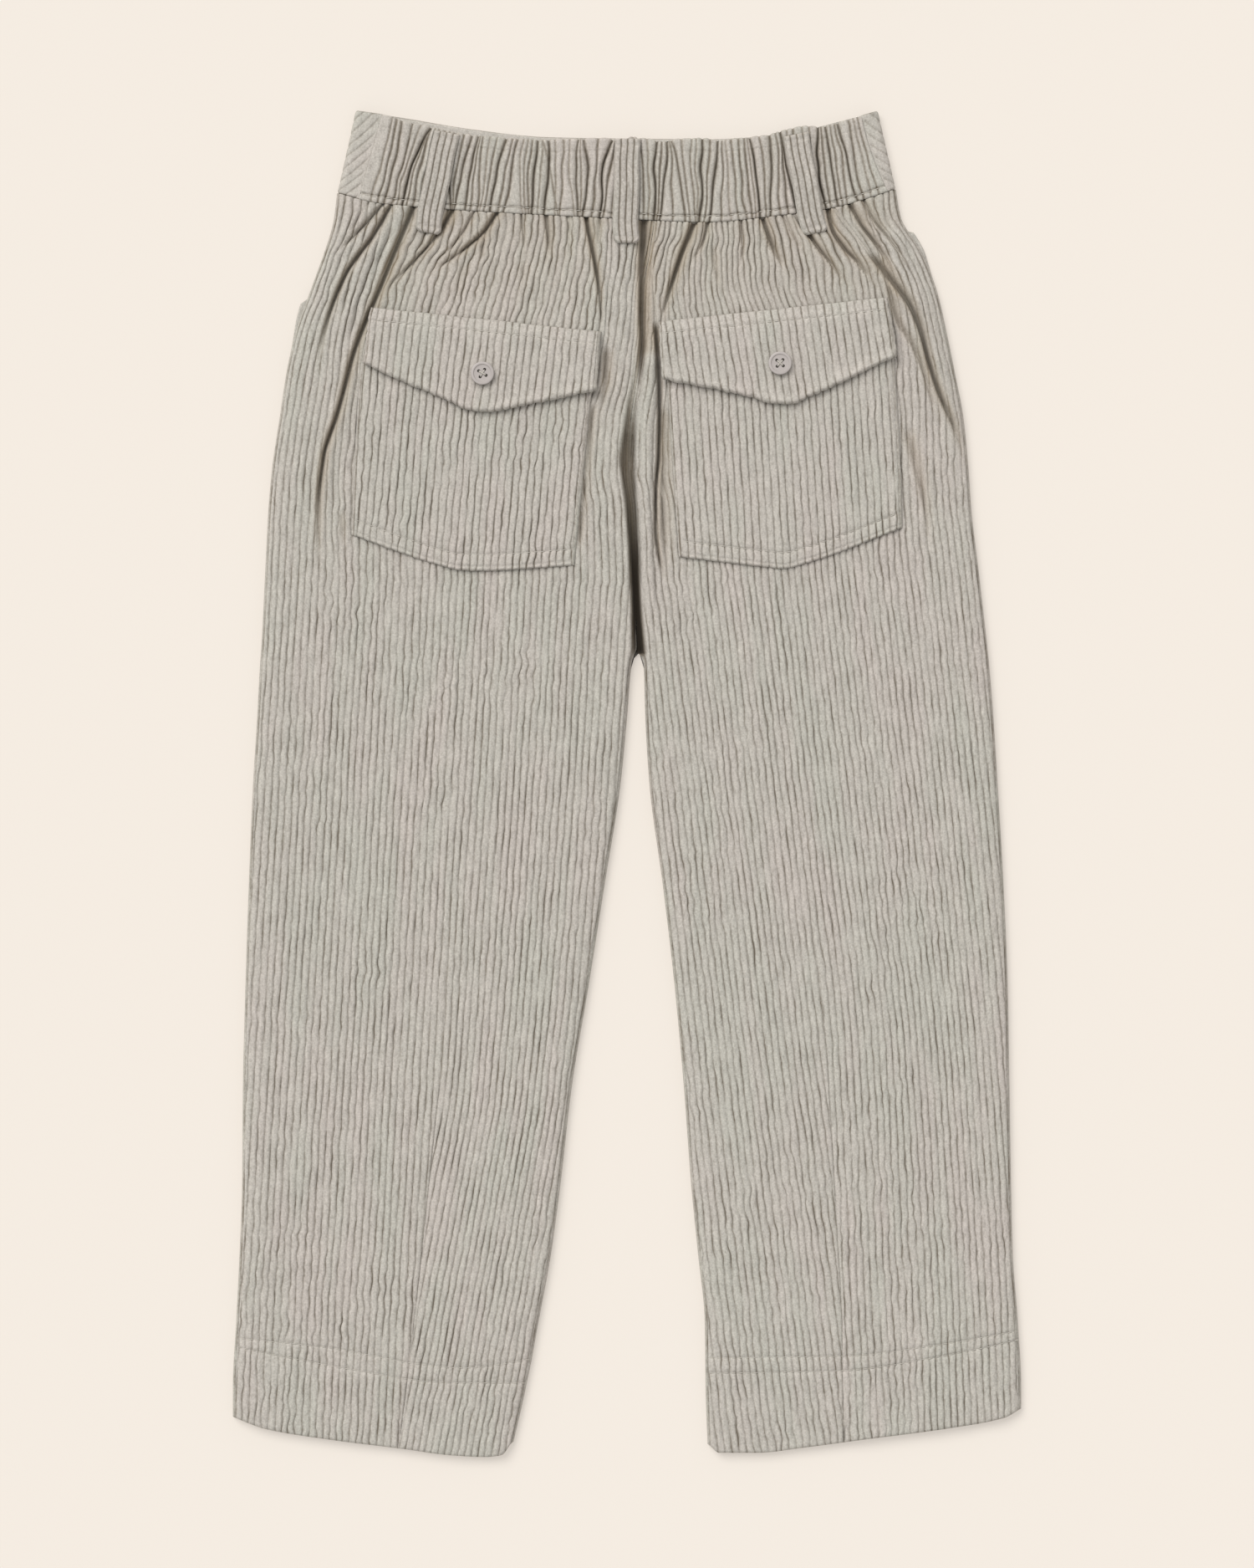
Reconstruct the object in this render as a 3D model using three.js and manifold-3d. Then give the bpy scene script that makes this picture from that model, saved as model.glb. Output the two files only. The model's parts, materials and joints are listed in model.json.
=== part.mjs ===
// Child's wide-leg trousers in wide-wale corduroy, laid flat with the back uppermost.
// Millimetres. +X towards the wearer's right side, +Y from hem to waist, +Z up.
// The origin is under the middle of the outline, on the surface that the trousers lie on.
// Front panels, front pockets and front waistband make the lower ply, flat underneath.
// Back panels lie on them as arched walls; pockets, flaps, loops and buttons lie on the back panels.
import * as THREE from 'three';
import { mergeVertices } from 'three/addons/utils/BufferGeometryUtils.js';
import Module from 'manifold-3d';

const wasm = await Module();
wasm.setup();

// ---- driving sizes ----
const cloth = {
  gap: 0.3, // between two pieces at a seam, and between two plies
  ply: 2, // front panels, flat on the surface
  wall: 1.3, // back cloth under its wales
  wale: 1, // height of a wale above the wall
  rim: 0.3, // extra wall along a turned edge
  rest: 0.35, // clearance of a patch over the wales it lies on
  edgeSnap: 0.7, // a wale nearer than this to an edge runs into it
};
const levels = {
  hem: -312, // middle of the hems
  seam: 275, // middle of the waist seam
  crotch: 60, // where the legs part
  grain: 95, // above this the wales gather towards the waist
  hemReach: 110, // how far up the slope of the hem carries
  seamReach: 70, // how far down the slope of the waist seam carries
  hemArch: 60, // over this the leg flattens to its hem
  crotchArch: 30, // over this the inner side of a leg steepens to the centre fold
};
const arch = {
  body: 2.8, // hollow between the plies of the legs and seat
  waist: 2.1, // and at the waist seam
  hem: 1.9, // and at the hem
  edgeRun: 11, // width of the rounded side of a leg
  centreRun: 4, // width of the steep side of the centre fold
  outerFade: 4, // folds die out this near the outer edge
  innerFade: 2, // and this near the inner edge
};
const foldFade = { before: 6, soften: 1, after: 4, tail: 0.45 }; // how a fold starts and runs out
const coarse = { every: 4, reach: 3.4 }; // plain inside of a back panel: one line in four wale edges
const flapShape = { shoulder: 7.4 }; // a flap reaches its full height this far below its seam
const pocketRows = [0, 0.12, 0.4, 0.72, 1];
// Rows of the back band: how high up it they lie, and how fully the gathers are drawn there.
const band = {
  hollow: 2.4,
  pleats: 64,
  pleat: 1.7,
  plainEvery: 8,
  frontStations: 14,
  frontRows: [0, 0.5, 1],
  turn: [1, 0.6, 0.25, -0.1, -0.45, -0.75, -1], // round a side, top to underneath, in quarter turns
  uneven: 0.28, // how far a gather strays from its even place
  shallow: 0.45, // least height of a gather, as a share of the most
  backRows: [{ up: 0, drawn: 0.55 }, { up: 0.14, drawn: 1 }, { up: 0.78, drawn: 0.85 }, { up: 1, drawn: 0.35 }],
};
// Rows of a loop: how far up it they lie, their clearance over the band and their share of its width.
const loopShape = {
  width: 13.2,
  wales: 4,
  bedReach: 3,
  rows: [
    { up: 0, clear: 0, wide: 0.86 },
    { up: 0.06, clear: 0, wide: 1 },
    { up: 0.26, clear: 0.4, wide: 1 },
    { up: 0.55, clear: 1.2, wide: 1 },
    { up: 0.86, clear: 0.3, wide: 1 },
    { up: 1, clear: 0, wide: 1 },
  ],
};
const button = {
  radius: 5.5,
  thick: 2.2,
  rim: 1.1,
  dish: 0.5,
  bevel: 0.4,
  sides: 24,
  holeRadius: 0.75,
  holeReach: 1.45,
  holeSides: 8,
};
// Front pockets: their mouths run from the waist seam to the side seam, where they stand proud.
const mouths = {
  left: { seamX: -96, sideX: -152.9, sideY: 232 },
  right: { seamX: 92, sideX: 135.6, sideY: 264 },
};
const mouthProud = { lift: 2.6, fade: 26 };
const frontSeam = { crotchX: 5.1, waistX: 1 };
const pocketUp = [0.08, 0.4, 0.7, 1]; // rows of a front pocket, up its mouth
const pocketAcross = [0, 0.35, 0.7, 1];
const slabRound = 0.7; // rounding of the side of the lower ply
const frontClear = 18; // the last level row of a front panel lies this far below the pocket's mouth
const acrossFront = [0.08, 0.2, 0.36, 0.55, 0.8];
const mouthLine = 3; // the line of acrossFront that ends where the mouth meets the waist seam

// ---- sections across the trousers, hem to waist ----
// At each height: outer and inner edge of the left leg, inner and outer edge of the right leg.
// Above the crotch the inner edges are the centre back seam, at the bottom of its deep fold.
const sections = [
  { at: -322, leftOuter: -188.4, leftInner: -56, rightInner: 38.8, rightOuter: 188.4 },
  { at: -289, leftOuter: -188.4, leftInner: -48.4, rightInner: 37.6, rightOuter: 188.4 },
  { at: -257, leftOuter: -186.8, leftInner: -42.4, rightInner: 37.2, rightOuter: 186.8 },
  { at: -225, leftOuter: -185.2, leftInner: -36.4, rightInner: 34, rightOuter: 184.4 },
  { at: -193, leftOuter: -184, leftInner: -32, rightInner: 30.8, rightOuter: 183.6 },
  { at: -145, leftOuter: -183.6, leftInner: -26.4, rightInner: 27.2, rightOuter: 182.8 },
  { at: -97, leftOuter: -182.4, leftInner: -18.4, rightInner: 22.8, rightOuter: 182 },
  { at: -49, leftOuter: -180.8, leftInner: -10.8, rightInner: 17.2, rightOuter: 180 },
  { at: -1, leftOuter: -178.8, leftInner: -3.2, rightInner: 10.8, rightOuter: 177.2 },
  { at: 31, leftOuter: -176.8, leftInner: 0, rightInner: 8.8, rightOuter: 175.2 },
  { at: 60, leftOuter: -175.2, leftInner: 2.7, rightInner: 7.8, rightOuter: 172.8 },
  { at: 65, leftOuter: -175, leftInner: 5.1, rightInner: 5.1, rightOuter: 172.4 },
  { at: 104, leftOuter: -172.8, leftInner: 4, rightInner: 4, rightOuter: 167.8 },
  { at: 131, leftOuter: -171.4, leftInner: 2.8, rightInner: 2.8, rightOuter: 164.6 },
  { at: 151, leftOuter: -169.6, leftInner: 0.6, rightInner: 0.6, rightOuter: 163.2 },
  { at: 175, leftOuter: -166, leftInner: 2, rightInner: 2, rightOuter: 160.8 },
  { at: 195, leftOuter: -163, leftInner: 5.2, rightInner: 5.2, rightOuter: 157 },
  { at: 215, leftOuter: -158.6, leftInner: 7.4, rightInner: 7.4, rightOuter: 152.9 },
  { at: 235, leftOuter: -151.5, leftInner: 7.8, rightInner: 7.8, rightOuter: 148.2 },
  { at: 254, leftOuter: -144.6, leftInner: 10.8, rightInner: 10.8, rightOuter: 140.6 },
  { at: 270, leftOuter: -139.8, leftInner: 13, rightInner: 13, rightOuter: 131 },
  { at: 284, leftOuter: -138.4, leftInner: 13.2, rightInner: 13.2, rightOuter: 128.4 },
];
// Hem of both legs, and the seam under the waistband, left to right.
const hemLine = [
  { at: -188.4, y: -302.5 },
  { at: -172, y: -308.4 },
  { at: -140, y: -313.6 },
  { at: -108, y: -317.6 },
  { at: -84, y: -320.8 },
  { at: -68, y: -321.6 },
  { at: -60, y: -320.8 },
  { at: -54, y: -314.5 },
  { at: 38, y: -315.5 },
  { at: 44, y: -319.6 },
  { at: 62, y: -319.6 },
  { at: 84, y: -317.2 },
  { at: 108, y: -314 },
  { at: 156, y: -307.6 },
  { at: 180, y: -303 },
  { at: 188.4, y: -298.5 },
];
const seamLine = [
  { at: -138.4, y: 282 },
  { at: -121, y: 277.2 },
  { at: -101, y: 275.1 },
  { at: -61, y: 272.4 },
  { at: -1, y: 269.4 },
  { at: 36, y: 267.8 },
  { at: 80, y: 271.9 },
  { at: 98, y: 274.6 },
  { at: 112, y: 278.3 },
  { at: 128.4, y: 283.8 },
];

// ---- run of the wales in each leg, outward from the middle ----
// inner and outer wale, and the two wales that meet at the dart above the hem.
const grain = {
  left: [
    { at: -317, inner: 45.5, dartInner: 121.4, dartOuter: 100.1, outer: 198.3 },
    { at: -257, inner: 34.5, dartInner: 110.3, dartOuter: 96.4, outer: 194.7 },
    { at: -193, inner: 23.6, dartInner: 98.4, dartOuter: 92.5, outer: 190.8 },
    { at: -145, inner: 16.2, dartInner: 89.6, dartOuter: 89.6, outer: 187.9 },
    { at: -49, inner: 6, dartInner: 83.7, dartOuter: 83.7, outer: 182 },
    { at: 30, inner: 0.4, dartInner: 78.9, dartOuter: 78.9, outer: 177.2 },
    { at: 95, inner: -4, dartInner: 75, dartOuter: 75, outer: 173.2 },
  ],
  right: [
    { at: -317, inner: 53.4, dartInner: 122.1, dartOuter: 104, outer: 203.3 },
    { at: -257, inner: 46.2, dartInner: 113.7, dartOuter: 101.3, outer: 201.2 },
    { at: -193, inner: 38.5, dartInner: 104.7, dartOuter: 98.4, outer: 197 },
    { at: -125, inner: 30.4, dartInner: 95.2, dartOuter: 95.2, outer: 191.4 },
    { at: -49, inner: 21.3, dartInner: 85.7, dartOuter: 85.7, outer: 184.1 },
    { at: 30, inner: 11.8, dartInner: 75.8, dartOuter: 75.8, outer: 175.6 },
    { at: 95, inner: 4, dartInner: 67.7, dartOuter: 67.7, outer: 168.6 },
  ],
};
const dartLine = {
  left: [{ at: -318, x: 109 }, { at: -268, x: 102.8 }, { at: -145, x: 89.6 }],
  right: [{ at: -318, x: 103.3 }, { at: -258, x: 102.6 }, { at: -218, x: 100.6 }, { at: -125, x: 95.2 }],
};
const waleCount = { left: { spare: 0, inner: 24, outer: 30 }, right: { spare: 5, inner: 20, outer: 31 } };

// ---- folds of the back: three points down each, half width, and height (below zero, a trough) ----
const folds = [
  { name: 'left hip outer', x0: -113, y0: 277, x1: -134, y1: 244, x2: -148, y2: 196, width: 2.8, height: -2.6 },
  { name: 'left hip inner', x0: -100, y0: 276, x1: -121.6, y1: 232, x2: -137, y2: 172, width: 3, height: -2.9 },
  { name: 'left thigh', x0: -139.6, y0: 200, x1: -144, y1: 165, x2: -149, y2: 110, width: 4, height: -1.4 },
  { name: 'left hip crease', x0: -118, y0: 278, x1: -134, y1: 260, x2: -146, y2: 250, width: 1.8, height: -1 },
  { name: 'left loop', x0: -84, y0: 276, x1: -86.5, y1: 268, x2: -92, y2: 258, width: 2.6, height: -2 },
  { name: 'left seat slant', x0: -63, y0: 272, x1: -76, y1: 258, x2: -100, y2: 243, width: 2.8, height: -1.8 },
  { name: 'left of centre', x0: -20, y0: 272, x1: -16, y1: 245, x2: -11.5, y2: 206, width: 2.4, height: -2.7 },
  { name: 'left hip bulge', x0: -107, y0: 276, x1: -128, y1: 240, x2: -143, y2: 190, width: 4, height: 1.8 },
  { name: 'left hip edge', x0: -125, y0: 278, x1: -143, y1: 243, x2: -154, y2: 200, width: 4, height: 1 },
  { name: 'centre strip', x0: -2, y0: 262, x1: -3, y1: 235, x2: -4, y2: 190, width: 6, height: 1.2 },
  { name: 'crotch roll', x0: 10.4, y0: 203, x1: 9, y1: 140, x2: 12, y2: 52, width: 3.9, height: 3.2 },
  { name: 'crotch groove', x0: 15.5, y0: 195, x1: 16.3, y1: 140, x2: 20.5, y2: 92, width: 2.4, height: -3 },
  { name: 'right of centre', x0: 33.5, y0: 270, x1: 29, y1: 253, x2: 18, y2: 222, width: 3, height: -2.8 },
  { name: 'right seat short', x0: 63.5, y0: 270, x1: 71, y1: 255, x2: 75.5, y2: 243, width: 2.6, height: -1.8 },
  { name: 'right seat slant', x0: 83, y0: 265, x1: 95, y1: 250.5, x2: 109, y2: 236, width: 2.6, height: -1.9 },
  { name: 'right loop', x0: 95, y0: 273, x1: 101, y1: 257.5, x2: 118, y2: 237, width: 2.6, height: -2.5 },
  { name: 'right hip inner', x0: 106, y0: 277, x1: 121, y1: 257.5, x2: 130, y2: 232, width: 2.4, height: -2 },
  { name: 'right hip main', x0: 119, y0: 252, x1: 143, y1: 207, x2: 162, y2: 150, width: 3.2, height: -3 },
  { name: 'right hip bulge', x0: 128, y0: 262, x1: 151, y1: 200, x2: 163, y2: 158, width: 4, height: 1.6 },
  { name: 'right thigh', x0: 128, y0: 228, x1: 138, y1: 196, x2: 146, y2: 172, width: 2.6, height: -1.4 },
];

// ---- patches sewn to the back: corners left to right, y along the top and along the bottom ----
const pockets = {
  left: {
    leftEdge: [{ at: 100, x: -132.6 }, { at: 222, x: -127.2 }],
    rightEdge: [{ at: 100, x: -25.6 }, { at: 210, x: -14.4 }],
    top: [{ at: -128, y: 218.5 }, { at: -13.5, y: 206.5 }],
    bottom: [{ at: -132, y: 118.8 }, { at: -88, y: 102.8 }, { at: -74, y: 101.6 }, { at: -25, y: 104 }],
    lean: 0.093,
    pitch: 3.43,
  },
  right: {
    leftEdge: [{ at: 100, x: 25.4 }, { at: 214, x: 17.4 }],
    rightEdge: [{ at: 110, x: 131.6 }, { at: 150, x: 130.6 }, { at: 224, x: 126 }],
    top: [{ at: 17, y: 211.2 }, { at: 127, y: 223 }],
    bottom: [{ at: 25, y: 108 }, { at: 68, y: 102.8 }, { at: 80, y: 103.4 }, { at: 131.5, y: 122 }],
    lean: -0.068,
    pitch: 3.46,
  },
};
const flaps = {
  left: {
    leftEdge: [{ at: 196, x: -124.6 }, { at: 228, x: -123.2 }],
    rightEdge: [{ at: 184, x: -15 }, { at: 218, x: -12 }],
    top: [{ at: -123.4, y: 227.3 }, { at: -12, y: 215.6 }],
    bottom: [{ at: -124.6, y: 198.3 }, { at: -75, y: 178.6 }, { at: -66, y: 177.4 }, { at: -14.8, y: 186.6 }],
    lean: 0.124,
    pitch: 3.6,
  },
  right: {
    leftEdge: [{ at: 190, x: 19.5 }, { at: 197, x: 16.6 }, { at: 221, x: 14.8 }],
    rightEdge: [{ at: 202, x: 128.4 }, { at: 210, x: 128 }, { at: 232, x: 124 }],
    top: [{ at: 14.8, y: 220.4 }, { at: 124, y: 232 }],
    bottom: [{ at: 17, y: 192.5 }, { at: 70, y: 181 }, { at: 78, y: 180.9 }, { at: 128.4, y: 203.6 }],
    lean: -0.154,
    pitch: 3.66,
  },
};
const buttonPlace = { left: { x: -68.8, y: 195.2 }, right: { x: 72.8, y: 200 } };
const loops = {
  left: { topX: -86.4, topY: 310.6, bottomX: -95, bottomY: 262.6 },
  centre: { topX: -0.2, topY: 307.6, bottomX: -0.2, bottomY: 257.6 },
  right: { topX: 80, topY: 309.6, bottomX: 90, bottomY: 262.4 },
};

// ---- waistband: its top edge, and where the front band comes round the sides ----
const bandTop = [
  { at: -130, y: 321.3 },
  { at: -104, y: 318.2 },
  { at: -86, y: 314.6 },
  { at: -60, y: 313 },
  { at: -10, y: 309.4 },
  { at: 44, y: 309.4 },
  { at: 66, y: 311 },
  { at: 98, y: 316 },
  { at: 120, y: 321.3 },
];
const frontBandTop = [
  { at: -130, y: 321.6 },
  { at: -80, y: 316 },
  { at: -8, y: 309.6 },
  { at: 40, y: 309.2 },
  { at: 98, y: 315.8 },
  { at: 120, y: 321.6 },
];
const sides = {
  left: { edgeLow: -138.4, edgeHigh: -129.6, tipLow: -128, tipHigh: -116.8 },
  right: { edgeLow: 128.4, edgeHigh: 119.8, tipLow: 124.4, tipHigh: 111.6 },
};

const shades = {
  cloth: { color: 0xb7b0a7, roughness: 0.95, metalness: 0 },
  button: { color: 0xb5aeab, roughness: 0.45, metalness: 0 },
};

const passes = 6; // rounds taken to settle where a slanted line crosses a bent one

// ---- small helpers ----
const mix = (a, b, part) => a + (b - a) * part;
const clamp = (value, low, high) => Math.min(Math.max(value, low), high);

function smooth(low, high, value) {
  const part = clamp((value - low) / (high - low), 0, 1);
  return part * part * (3 - 2 * part);
}

// Slope of a table's column at one row: the harmonic mean of its neighbours, so no overshoot.
function slopeAt(rows, column, row) {
  const slope = (from) => (rows[from + 1][column] - rows[from][column]) / (rows[from + 1].at - rows[from].at);
  const before = row > 0 ? slope(row - 1) : null;
  const after = row < rows.length - 1 ? slope(row) : null;
  if (before === null) return after;
  if (after === null) return before;
  return before * after <= 0 ? 0 : (2 * before * after) / (before + after);
}

// A table read as a smooth curve: cubic between rows, straight on past its ends.
function along(rows, column, at) {
  const last = rows.length - 1;
  if (at <= rows[0].at) return rows[0][column] + slopeAt(rows, column, 0) * (at - rows[0].at);
  if (at >= rows[last].at) return rows[last][column] + slopeAt(rows, column, last) * (at - rows[last].at);
  let row = 0;
  while (rows[row + 1].at < at) row += 1;
  const run = rows[row + 1].at - rows[row].at;
  const t = (at - rows[row].at) / run;
  const start = rows[row][column];
  const end = rows[row + 1][column];
  const leave = slopeAt(rows, column, row) * run;
  const arrive = slopeAt(rows, column, row + 1) * run;
  const t2 = t * t;
  const t3 = t2 * t;
  const places = (2 * t3 - 3 * t2 + 1) * start + (3 * t2 - 2 * t3) * end;
  return places + (t3 - 2 * t2 + t) * leave + (t3 - t2) * arrive;
}

// ---- a closed wall from the rows of its upper and lower faces ----
// Rows run towards the waist, and points in a row run towards +X where the face looks up.
// Points that fall together are one point, so a line of the grid may end at an edge.
class Shell {
  constructor() {
    this.places = [];
    this.faces = [];
    this.known = new Map();
  }

  point(place) {
    const key = place.map((value) => value.toFixed(3)).join(' ');
    if (!this.known.has(key)) {
      this.known.set(key, this.places.length / 3);
      this.places.push(...place);
    }
    return this.known.get(key);
  }

  face(first, second, third) {
    const corners = [this.point(first), this.point(second), this.point(third)];
    if (new Set(corners).size === 3) this.faces.push(...corners);
  }

  sheet(rows, facingUp) {
    for (let row = 0; row + 1 < rows.length; row += 1) {
      for (let line = 0; line + 1 < rows[row].length; line += 1) {
        const a = rows[row][line];
        const b = rows[row][line + 1];
        const c = rows[row + 1][line + 1];
        const d = rows[row + 1][line];
        if (facingUp) {
          this.face(a, b, c);
          this.face(a, c, d);
        } else {
          this.face(a, c, b);
          this.face(a, d, c);
        }
      }
    }
  }

  // Closes the strip between an upper and a lower line that share their ends, however many points each has.
  rim(upper, lower, flip) {
    const run = (line) => {
      const reach = [0];
      for (let i = 1; i < line.length; i += 1) {
        const step = Math.hypot(line[i][0] - line[i - 1][0], line[i][1] - line[i - 1][1]);
        reach.push(reach[i - 1] + step);
      }
      return reach.map((value) => value / reach[reach.length - 1]);
    };
    const upperRun = run(upper);
    const lowerRun = run(lower);
    let i = 0;
    let j = 0;
    while (i + 1 < upper.length || j + 1 < lower.length) {
      const takeUpper = j + 1 === lower.length || (i + 1 < upper.length && upperRun[i + 1] <= lowerRun[j + 1]);
      const tip = takeUpper ? upper[i + 1] : lower[j + 1];
      if (flip) this.face(upper[i], tip, lower[j]);
      else this.face(upper[i], lower[j], tip);
      if (takeUpper) i += 1;
      else j += 1;
    }
  }

  geometry() {
    const shape = new THREE.BufferGeometry();
    shape.setAttribute('position', new THREE.Float32BufferAttribute(this.places, 3));
    shape.setIndex(this.faces);
    shape.computeVertexNormals();
    return shape;
  }
}

function wallBetween(over, under) {
  const shell = new Shell();
  const last = over.length - 1;
  shell.sheet(over, true);
  shell.sheet(under, false);
  shell.rim(over[0], under[0], false);
  shell.rim(over[last], under[last], true);
  const firsts = (rows) => rows.map((row) => row[0]);
  const ends = (rows) => rows.map((row) => row[row.length - 1]);
  shell.rim(firsts(over), firsts(under), true);
  shell.rim(ends(over), ends(under), false);
  return shell.geometry();
}

// ---- the form of the back: height of the cloth's inner face above the surface ----
function foldHeight(x, y, ridgesOnly) {
  let height = 0;
  for (const fold of folds) {
    if (ridgesOnly && fold.height < 0) continue;
    if (y > fold.y0 + foldFade.before || y < fold.y2 - foldFade.after) continue;
    const path = [{ at: fold.y2, x: fold.x2 }, { at: fold.y1, x: fold.x1 }, { at: fold.y0, x: fold.x0 }];
    const middle = along(path, 'x', y);
    const slope = along(path, 'x', y + 1) - middle;
    const across = (x - middle) / Math.hypot(1, slope);
    const length = fold.y0 - fold.y2;
    const start = 1 - smooth(fold.y0 - foldFade.soften, fold.y0 + foldFade.before, y);
    const end = smooth(fold.y2 - foldFade.after, fold.y2 + foldFade.tail * length, y);
    height += fold.height * Math.exp(-((across / fold.width) ** 2)) * start * end;
  }
  return height;
}

function roundedSide(distance, run) {
  const part = 1 - clamp(distance / run, 0, 1);
  return Math.sqrt(1 - part * part);
}

function backHeight(side, x, y, ridgesOnly = false) {
  const outer = Math.abs(along(sections, `${side}Outer`, y) - x);
  const inner = Math.abs(along(sections, `${side}Inner`, y) - x);
  const steepen = smooth(levels.crotch - levels.crotchArch, levels.crotch, y);
  const waist = smooth(levels.seam - levels.seamReach, levels.seam, y);
  const hem = 1 - smooth(levels.hem, levels.hem + levels.hemArch, y);
  const hollow = mix(mix(arch.body, arch.waist, waist), arch.hem, hem);
  const low = cloth.ply + cloth.gap;
  const innerRun = mix(arch.edgeRun, arch.centreRun, steepen);
  const round = roundedSide(outer, arch.edgeRun) * roundedSide(inner, innerRun);
  const edges = Math.min(1, outer / arch.outerFade) * Math.min(1, inner / arch.innerFade);
  return Math.max(low, low + hollow * round + foldHeight(x, y, ridgesOnly) * edges);
}

// A row keeps its height across the leg, and bends to the hem at one end and the waist seam at the other.
function rowHeight(x, level) {
  const hem = 1 - smooth(levels.hem, levels.hem + levels.hemReach, level);
  const seam = smooth(levels.seam - levels.seamReach, levels.seam, level);
  const toHem = along(hemLine, 'y', x) - levels.hem;
  const toSeam = along(seamLine, 'y', x) - cloth.gap / 2 - levels.seam;
  return level + hem * toHem + seam * toSeam;
}

// Settles x and y together where a line crosses a bent row.
function crossing(level, xAt) {
  let x = xAt(level);
  let y = rowHeight(x, level);
  for (let pass = 0; pass < passes; pass += 1) {
    x = xAt(y);
    y = rowHeight(x, level);
  }
  return { x, y };
}

// One wale edge: halves counts half wales outward from the inner guide.
function waleAt(side, halves, y) {
  const count = waleCount[side];
  const sign = side === 'left' ? -1 : 1;
  const rows = grain[side];
  const reach = (level) => {
    const innerSide = halves <= 2 * count.inner;
    const dart = along(rows, innerSide ? 'dartInner' : 'dartOuter', level);
    if (innerSide) return mix(along(rows, 'inner', level), dart, halves / (2 * count.inner));
    return mix(dart, along(rows, 'outer', level), (halves - 2 * count.inner) / (2 * count.outer));
  };
  if (y <= levels.grain) return sign * reach(y);
  const inner = (level) => along(sections, `${side}Inner`, level);
  const outer = (level) => along(sections, `${side}Outer`, level);
  const start = inner(levels.grain);
  const share = (sign * reach(levels.grain) - start) / (outer(levels.grain) - start);
  return mix(inner(y), outer(y), share);
}

const rowLevels = [-312, -262, -205, -140, -70, 0, 60, 65, 90, 118, 145, 168, 190, 212, 234, 255, 275];

// Lines across one row of a back panel, inner edge to outer edge. A line past an edge or the dart ends on it.
function panelRow(side, level) {
  const count = waleCount[side];
  const sign = side === 'left' ? -1 : 1;
  const seamSide = level > levels.crotch ? cloth.gap / 2 : 0;
  const inner = crossing(level, (y) => along(sections, `${side}Inner`, y) + sign * seamSide);
  const outer = crossing(level, (y) => along(sections, `${side}Outer`, y));
  const dartRows = dartLine[side];
  const hasDart = level < dartRows[dartRows.length - 1].at;
  const dart = hasDart ? crossing(level, (y) => sign * along(dartRows, 'x', y)) : null;
  const line = [];
  for (let halves = -2 * count.spare; halves <= 2 * (count.inner + count.outer); halves += 1) {
    const innerSide = halves <= 2 * count.inner;
    let spot = crossing(level, (y) => waleAt(side, halves, y));
    let edge = false;
    const past = (limit, way) => way * sign * (spot.x - limit.x) > -cloth.edgeSnap;
    const first = halves === -2 * count.spare;
    const final = halves === 2 * (count.inner + count.outer);
    if (dart && innerSide && past(dart, 1)) spot = dart;
    if (dart && !innerSide && past(dart, -1)) spot = dart;
    if (dart && halves === 2 * count.inner) spot = dart;
    if (first || past(inner, -1)) {
      spot = inner;
      edge = true;
    }
    if (final || past(outer, 1)) {
      spot = outer;
      edge = true;
    }
    line.push({ ...spot, edge, ridge: Math.abs(halves % 2) === 1 && spot !== dart && !edge });
  }
  return line;
}

function backPanel(side) {
  const sign = side === 'left' ? -1 : 1;
  const over = [];
  const under = [];
  for (const level of rowLevels) {
    const line = panelRow(side, level);
    over.push(line.map((spot) => {
      const lift = spot.edge ? cloth.rim : (spot.ridge ? cloth.wale : 0);
      return [spot.x, spot.y, backHeight(side, spot.x, spot.y) + cloth.wall + lift];
    }));
    const plain = line.filter((spot, index) => index % coarse.every === 0 || index === line.length - 1);
    under.push(plain.map((spot) => {
      const near = [-coarse.reach, 0, coarse.reach].map((step) => backHeight(side, spot.x + step, spot.y));
      return [spot.x, spot.y, spot.edge ? cloth.ply + cloth.gap : Math.min(...near)];
    }));
  }
  if (sign < 0) [...over, ...under].forEach((row) => row.reverse());
  return wallBetween(over, under);
}

// ---- lower ply: front panels and front pockets, flat underneath ----
function frontSeamX(y) {
  return mix(frontSeam.crotchX, frontSeam.waistX, smooth(levels.crotch, levels.seam, y));
}

function mouthHeight(side, x) {
  const mouth = mouths[side];
  const seamY = along(seamLine, 'y', mouth.seamX);
  return mix(seamY, mouth.sideY, (x - mouth.seamX) / (mouth.sideX - mouth.seamX));
}

// A flat slab between rows of spots that run inner to outer, with its outer side rounded off.
function slab(rows, sign) {
  const faces = [[cloth.ply, cloth.ply - slabRound], [0, slabRound]];
  const [over, under] = faces.map(([flat, turned]) => rows.map((row) => {
    const outer = row[row.length - 1];
    const shoulder = [outer.x - sign * slabRound, outer.y, flat];
    return [...row.slice(0, -1).map((spot) => [spot.x, spot.y, flat]), shoulder, [outer.x, outer.y, turned]];
  }));
  if (sign < 0) [...over, ...under].forEach((row) => row.reverse());
  return wallBetween(over, under);
}

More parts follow.
